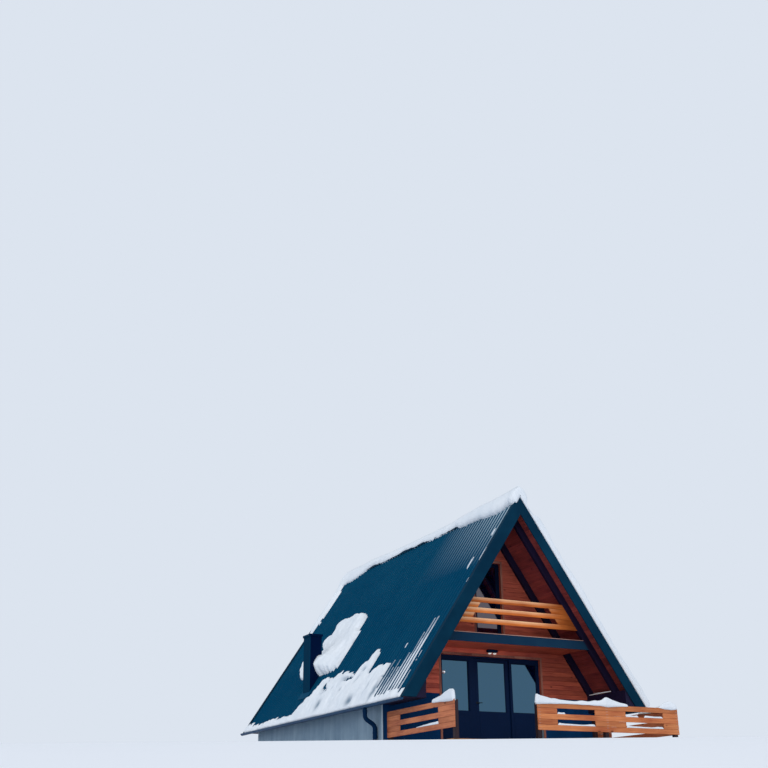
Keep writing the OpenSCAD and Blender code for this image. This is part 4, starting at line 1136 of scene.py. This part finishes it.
# In the pans near the verge it has slid away and left streaks between the ribs,
# with a few flecks higher up
pan = np.floor((Y - first_rib) / rib_pitch)
pan_chance = np.random.default_rng(11).random(80)[np.clip(pan, 0, 79).astype(int)]
pan_middle = first_rib + (pan + 0.5) * rib_pitch - verge
off_middle = np.abs((Y - first_rib) / rib_pitch - pan - 0.5 + (pan_chance - 0.5) * 0.16) / 0.5
streak_top = np.interp(pan_middle, [0.30, 0.45, 0.61, 0.76, 0.92, 1.07, 1.23, 1.38, 1.54, 1.69, 1.85, 2.00],
                       [5.62, 5.02, 3.50, 3.72, 4.12, 4.46, 4.90, 4.66, 4.90, 4.62, 4.80, 4.70])
below_top = T - streak_top - sway(Y * 6, T, 0.30, 9, 0.22) - sway(Y, T * 0.35, 0.03, 10, 0.30)
streaks = (below_top > 0) & (off_middle < 0.34 + 0.44 * ramp(below_top, 0, 0.8)) & (back < 2.02) & (pan >= 1)
faint = np.clip(0.75 - below_top / 1.1, 0, 0.75)
faint = faint + 0.55 * np.clip(lumps(Y, T * 0.3, 0.05, 12) * 1.6 - 0.8, 0, 1)
faint = faint + 0.22 * ramp(back, 1.05, 1.55) * ramp(T, 5.5, 5.1)
edge_streak = (pan == 2) & (off_middle < 0.30) & (T > 4.45) & (lumps(Y, T * 0.35, 0.09, 17) > 0.45)
high_streaks = np.zeros_like(streaks)
ragged = sway(Y * 3, T, 0.12, 19, 1.2)
for back_start, back_end, t_start, t_end in ((0.125, 0.220, 1.62, 2.02), (0.245, 0.355, 0.98, 1.19),
                                             (0.555, 0.655, 1.77, 2.16), (0.125, 0.185, 2.48, 2.74)):
    from_middle = np.abs((2 * back - back_start - back_end) / (back_end - back_start))
    from_centre = np.abs((2 * T - t_start - t_end) / (t_end - t_start))
    high_streaks |= from_middle ** 2.5 + from_centre ** 2.5 + ragged * from_centre < 1
fleck = (T > 4.15) & (T < 4.28) & (np.abs(back - 1.56) < 0.03)
for mask, depth, grey in ((streaks, 0.016, np.clip(faint, 0, 0.85)), (edge_streak, 0.012, 0.35),
                          (high_streaks, 0.018, 0.12), (fleck, 0.014, 0.25)):
    bare = mask & (H < depth)
    thin = np.where(bare, grey, thin)
    H = np.where(bare, depth, H)
edge_line = (Y < -4.100) & (lumps(T, Y, 0.35, 13) > 0.50) & (T > 0.9) & (T < 5.3)
thin = np.where(edge_line & (H < 0.010), 0.55, thin)
H = np.maximum(H, np.where(edge_line, 0.010, -0.01))

# The patch held back by the chimney leans against its front and reaches round
# behind it, and is heaped up to the casing
front_of = np.interp(T, [2.24, 2.32, 2.44, 2.78, 2.92, 3.10, 3.28, 3.60, 4.05, 4.26, 4.40],
                     [6.60, 6.10, 5.64, 5.60, 5.64, 5.40, 5.40, 5.38, 5.36, 5.46, 5.80])
behind_of = np.interp(T, [2.20, 2.47, 2.71, 2.85, 3.00, 3.13, 3.44, 3.69, 4.45],
                      [7.58, 7.60, 7.46, 7.58, 7.84, 7.80, 7.35, 7.27, 7.00])
upper = np.interp(back, [5.28, 5.38, 5.58, 5.66, 5.94, 6.05, 6.61, 7.00, 7.36, 7.60, 7.83],
                  [3.28, 3.08, 2.80, 2.46, 2.30, 2.35, 2.27, 2.27, 2.31, 2.22, 2.50])
lower = np.interp(back, [5.36, 5.46, 5.75, 6.00, 6.40], [4.05, 4.27, 4.37, 4.38, 4.38])
patch = np.minimum.reduce([back - front_of, behind_of - back, T - upper, lower - T]) + jag * 0.85
lee_end = np.interp(T, [3.20, 3.44, 3.46, 3.59, 3.93, 4.28, 4.40, 4.50],
                    [7.40, 7.40, 8.50, 8.66, 8.41, 7.88, 7.38, 6.90])
lee_top = np.interp(back, [6.98, 7.35, 7.80, 8.30, 8.66], [3.00, 3.28, 3.36, 3.46, 3.57])
lee = np.minimum.reduce([back - 6.98, lee_end - back, T - lee_top, 4.46 - T]) + jag * 0.25
held = np.clip(0.075 + 0.05 * lumps(Y, T, 0.45, 14) + rough_top, 0.03, 0.15)
for shape in (patch, lee):
    H = np.maximum(H, swell(shape, held, 0.06, shape * 0.12))
back_verge = back - 9.62 - np.clip(T - 1.9, 0, 3) * 0.5 + jag
H = np.clip(np.maximum(H, swell(back_verge, 0.09, 0.10, -0.01)), -0.006, 0.16)
heap = np.exp(-np.maximum(6.30 - back, 0) ** 2 / 0.24) * ramp(T, 3.05, 4.00) ** 1.5
heap = heap * np.sqrt(ramp(T, 4.40, 4.26)) * (back < 6.42)
H = np.where(H > 0, H + 0.25 * heap * (0.85 + 0.3 * lumps(Y, T, 0.12, 18)), H)
by_stack = (back > 6.40) & (back < 6.98) & (T > 4.25) & (T < 5.02)
H = np.where(by_stack, -0.01, H)
cells = np.maximum.reduce([H[:-1, :-1], H[1:, :-1], H[:-1, 1:], H[1:, 1:]]) > -0.001
skin_under = np.full_like(H, -rib_h - 0.008)
left_snow = shell(slope_points(Y, T, H - rib_h), slope_points(Y, T, skin_under), cells, thin)
piece("left_slope_snow", left_snow, snow)

# The ridge and the right slope. Q is the distance from the ridge, less than 0 on
# the left side, where the snow ends in a rounded brow.
ys = np.concatenate([[verge - 0.022, verge - 0.020, verge - 0.010], np.arange(verge + 0.01, 5.750, 0.055),
                     [5.774, 5.784, 5.786]])
left_reach = np.interp(ys - verge, [0, 0.12, 0.4, 1.0, 2.1, 3.1, 3.6, 4.5, 5.5, 7.0, 8.2, 8.7, 9.3, 10.1],
                       [0.20, 0.29, 0.34, 0.35, 0.29, 0.15, 0.23, 0.17, 0.13, 0.14, 0.17, 0.27, 0.40, 0.50])
left_reach = left_reach + sway(ys, ys * 0, 0.33, 21, 0.10) + sway(ys, ys * 0, 0.12, 25, 0.04)
ridge_top = np.interp(ys - verge, [0, 0.4, 1.2, 2.4, 3.2, 4.2, 5.5, 6.8, 8.0, 9.2, 10.1],
                      [0.225, 0.205, 0.190, 0.168, 0.115, 0.095, 0.085, 0.115, 0.145, 0.130, 0.110])
ridge_top = ridge_top + sway(ys, ys * 0, 0.5, 22, 0.03)
turn = np.linspace(math.pi / 2, 0, 15)[:-1]
brow = np.cos(turn) ** 0.7
q_right = np.concatenate([np.linspace(0, 0.30, 10), np.arange(0.34, slope_length - 0.05, 0.060),
                          [slope_length - 0.03, slope_length, snow_foot]])
end_rounding = (0.20, 0.58, 0.84, 0.96)
top_points, low_points = [], []
for i, y in enumerate(ys):
    q = np.concatenate([-np.sin(turn) * left_reach[i], q_right])
    level_y = np.full_like(q, y)
    right_h = (0.100 + 0.055 * lumps(level_y, q, 0.9, 23) + 0.03 * lumps(level_y, q, 0.28, 24)
               + 0.012 * lumps(level_y, q, 0.10, 26))
    # Wind has scoured the front verge a little way down from the ridge
    scour = np.exp(-((q - 0.42) / 0.22) ** 4) * ramp(y, verge + 0.16, verge)
    right_h = right_h * (1 - scour) - 0.02 * scour
    eave_round = np.sqrt(np.clip(1 - (1 - ramp(q, snow_foot, snow_foot - 0.10)) ** 2, 0.02, 1))
    left_h = np.full_like(q, ridge_top[i] * 0.86)
    left_h[:len(turn)] = left_h[:len(turn)] * brow - 0.032 * (1 - brow)
    near = np.exp(-(q / 0.20) ** 2)
    h = np.where(q < 0, left_h * (1 - near) + near * np.minimum(left_h, ridge_top[i]),
                 right_h * eave_round * (1 - near) + near * ridge_top[i])
    from_end = min(i, len(ys) - 1 - i)
    if from_end < len(end_rounding):
        h = np.where(h > 0, h * end_rounding[from_end], h)
    lean_of = math.sin(slope) * np.tanh(q / 0.12)
    foot_x, foot_z = q * math.cos(slope), ridge_z - np.abs(q) * math.sin(slope)
    top_points.append(np.stack([foot_x + lean_of * h, level_y,
                                foot_z + np.sqrt(1 - lean_of ** 2) * h], axis=-1))
    sunk = -0.034
    low_points.append(np.stack([foot_x + math.sin(slope) * np.sign(q) * sunk, level_y,
                                foot_z + math.cos(slope) * sunk], axis=-1))
top_points, low_points = np.array(top_points), np.array(low_points)
all_cells = np.ones((len(ys) - 1, top_points.shape[1] - 1), bool)
piece("ridge_and_right_snow", shell(top_points, low_points, all_cells), snow,
      stands_for=["roof_snow"])


def snow_roll(start, end, half, heights, seed):
    """A soft ridge of snow along a line: half is its half width and heights its depth from end to end."""
    start, line = Vector(start), Vector(end) - Vector(start)
    count = max(int(line.length / 0.03), 8)
    beside = line.normalized().cross(Vector((0, 0, 1)))
    rings = []
    for s in [i / count for i in range(count + 1)]:
        from_end = min(min(s, 1 - s) * line.length / 0.05, 1)
        tip = max(math.sqrt(max(1 - (1 - from_end) ** 2, 0)), 0.05)
        noise = float(lumps(s * line.length, seed * 3.1, 0.17, seed))
        other = float(lumps(s * line.length, seed * 5.7, 0.09, seed + 50))
        tall = float(np.interp(s, np.linspace(0, 1, len(heights)), heights)) * (0.8 + 0.4 * noise) * tip
        wide = half * (0.86 + 0.24 * other) * (0.35 + 0.65 * tip)
        ring = []
        for a in [math.pi * k / 12 for k in range(13)]:
            sag = -0.25 * tall * max(abs(math.cos(a)) - 0.8, 0) / 0.2 if half > 0.02 else 0
            up = Vector((0, 0, tall * math.sin(a) ** 0.7 + sag))
            ring.append(start + line * s + beside * wide * math.cos(a) + up)
        rings.append(ring)
    return ringed(rings)


# Rolls of snow lie on the rails, and thinner ones on the boards under their slots
rail_top = rail_low + rail_courses * course_h
front_y = (front_low.y + front_high.y) / 2
left_low, right_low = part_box("rail_left")[0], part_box("rail_right")[0]
left_x, right_x = left_low.x + 0.013, right_low.x + 0.013
rolls = [
    snow_roll((front_low.x - 0.035, front_y + 0.012, rail_top), (1.52, front_y + 0.012, rail_top), 0.048,
              [0.19, 0.15, 0.09, 0.07, 0.065, 0.06, 0.065, 0.07, 0.085, 0.15, 0.13, 0.08, 0.03], 31),
    snow_roll((2.36, front_y + 0.01, rail_top), (front_high.x + 0.005, front_y + 0.01, rail_top), 0.040,
              [0.02, 0.11, 0.15, 0.10], 32),
    snow_roll((left_x, left_low.y - 0.01, rail_top), (left_x, left_low.y + 0.90, rail_top), 0.044,
              [0.17, 0.21, 0.18, 0.11, 0.08, 0.06], 33),
    snow_roll((right_x, right_low.y + 0.10, rail_top), (right_x, right_low.y + 1.3, rail_top), 0.038,
              [0.05, 0.09, 0.07, 0.03], 34),
]
on_board, in_slot = -0.002, 0.004
for x0, x1, k in ((slot_a, slot_a + slot_w, 1), (slot_b, slot_b + wide_slot_w, 1), (slot_a, slot_a + 0.22, 3),
                  (slot_b, slot_b + 0.36, 3), (slot_b + 0.5, slot_b + wide_slot_w, 3)):
    z = rail_low + k * course_h + on_board
    rolls.append(snow_roll((x0 + in_slot, front_y, z), (x1 - in_slot, front_y, z), 0.013,
                           [0.05, 0.035, 0.03, 0.045], 35 + k))
z = rail_low + course_h + on_board
rolls.append(snow_roll((left_x, side_slot[0] + in_slot, z), (left_x, side_slot[0] + 1.0, z), 0.013,
                       [0.06, 0.05, 0.03, 0.01], 40))
# A little has blown in along the top edge of the right eave beam
beam_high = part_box("eave_beams")[1]
rolls.append(snow_roll((beam_high.x - 0.24, -2.62, beam_high.z + 0.02),
                       (beam_high.x - 0.24, -3.80, beam_high.z + 0.02), 0.016, [0.02, 0.03, 0.025], 44))
piece("rail_snow", joined(rolls), snow)
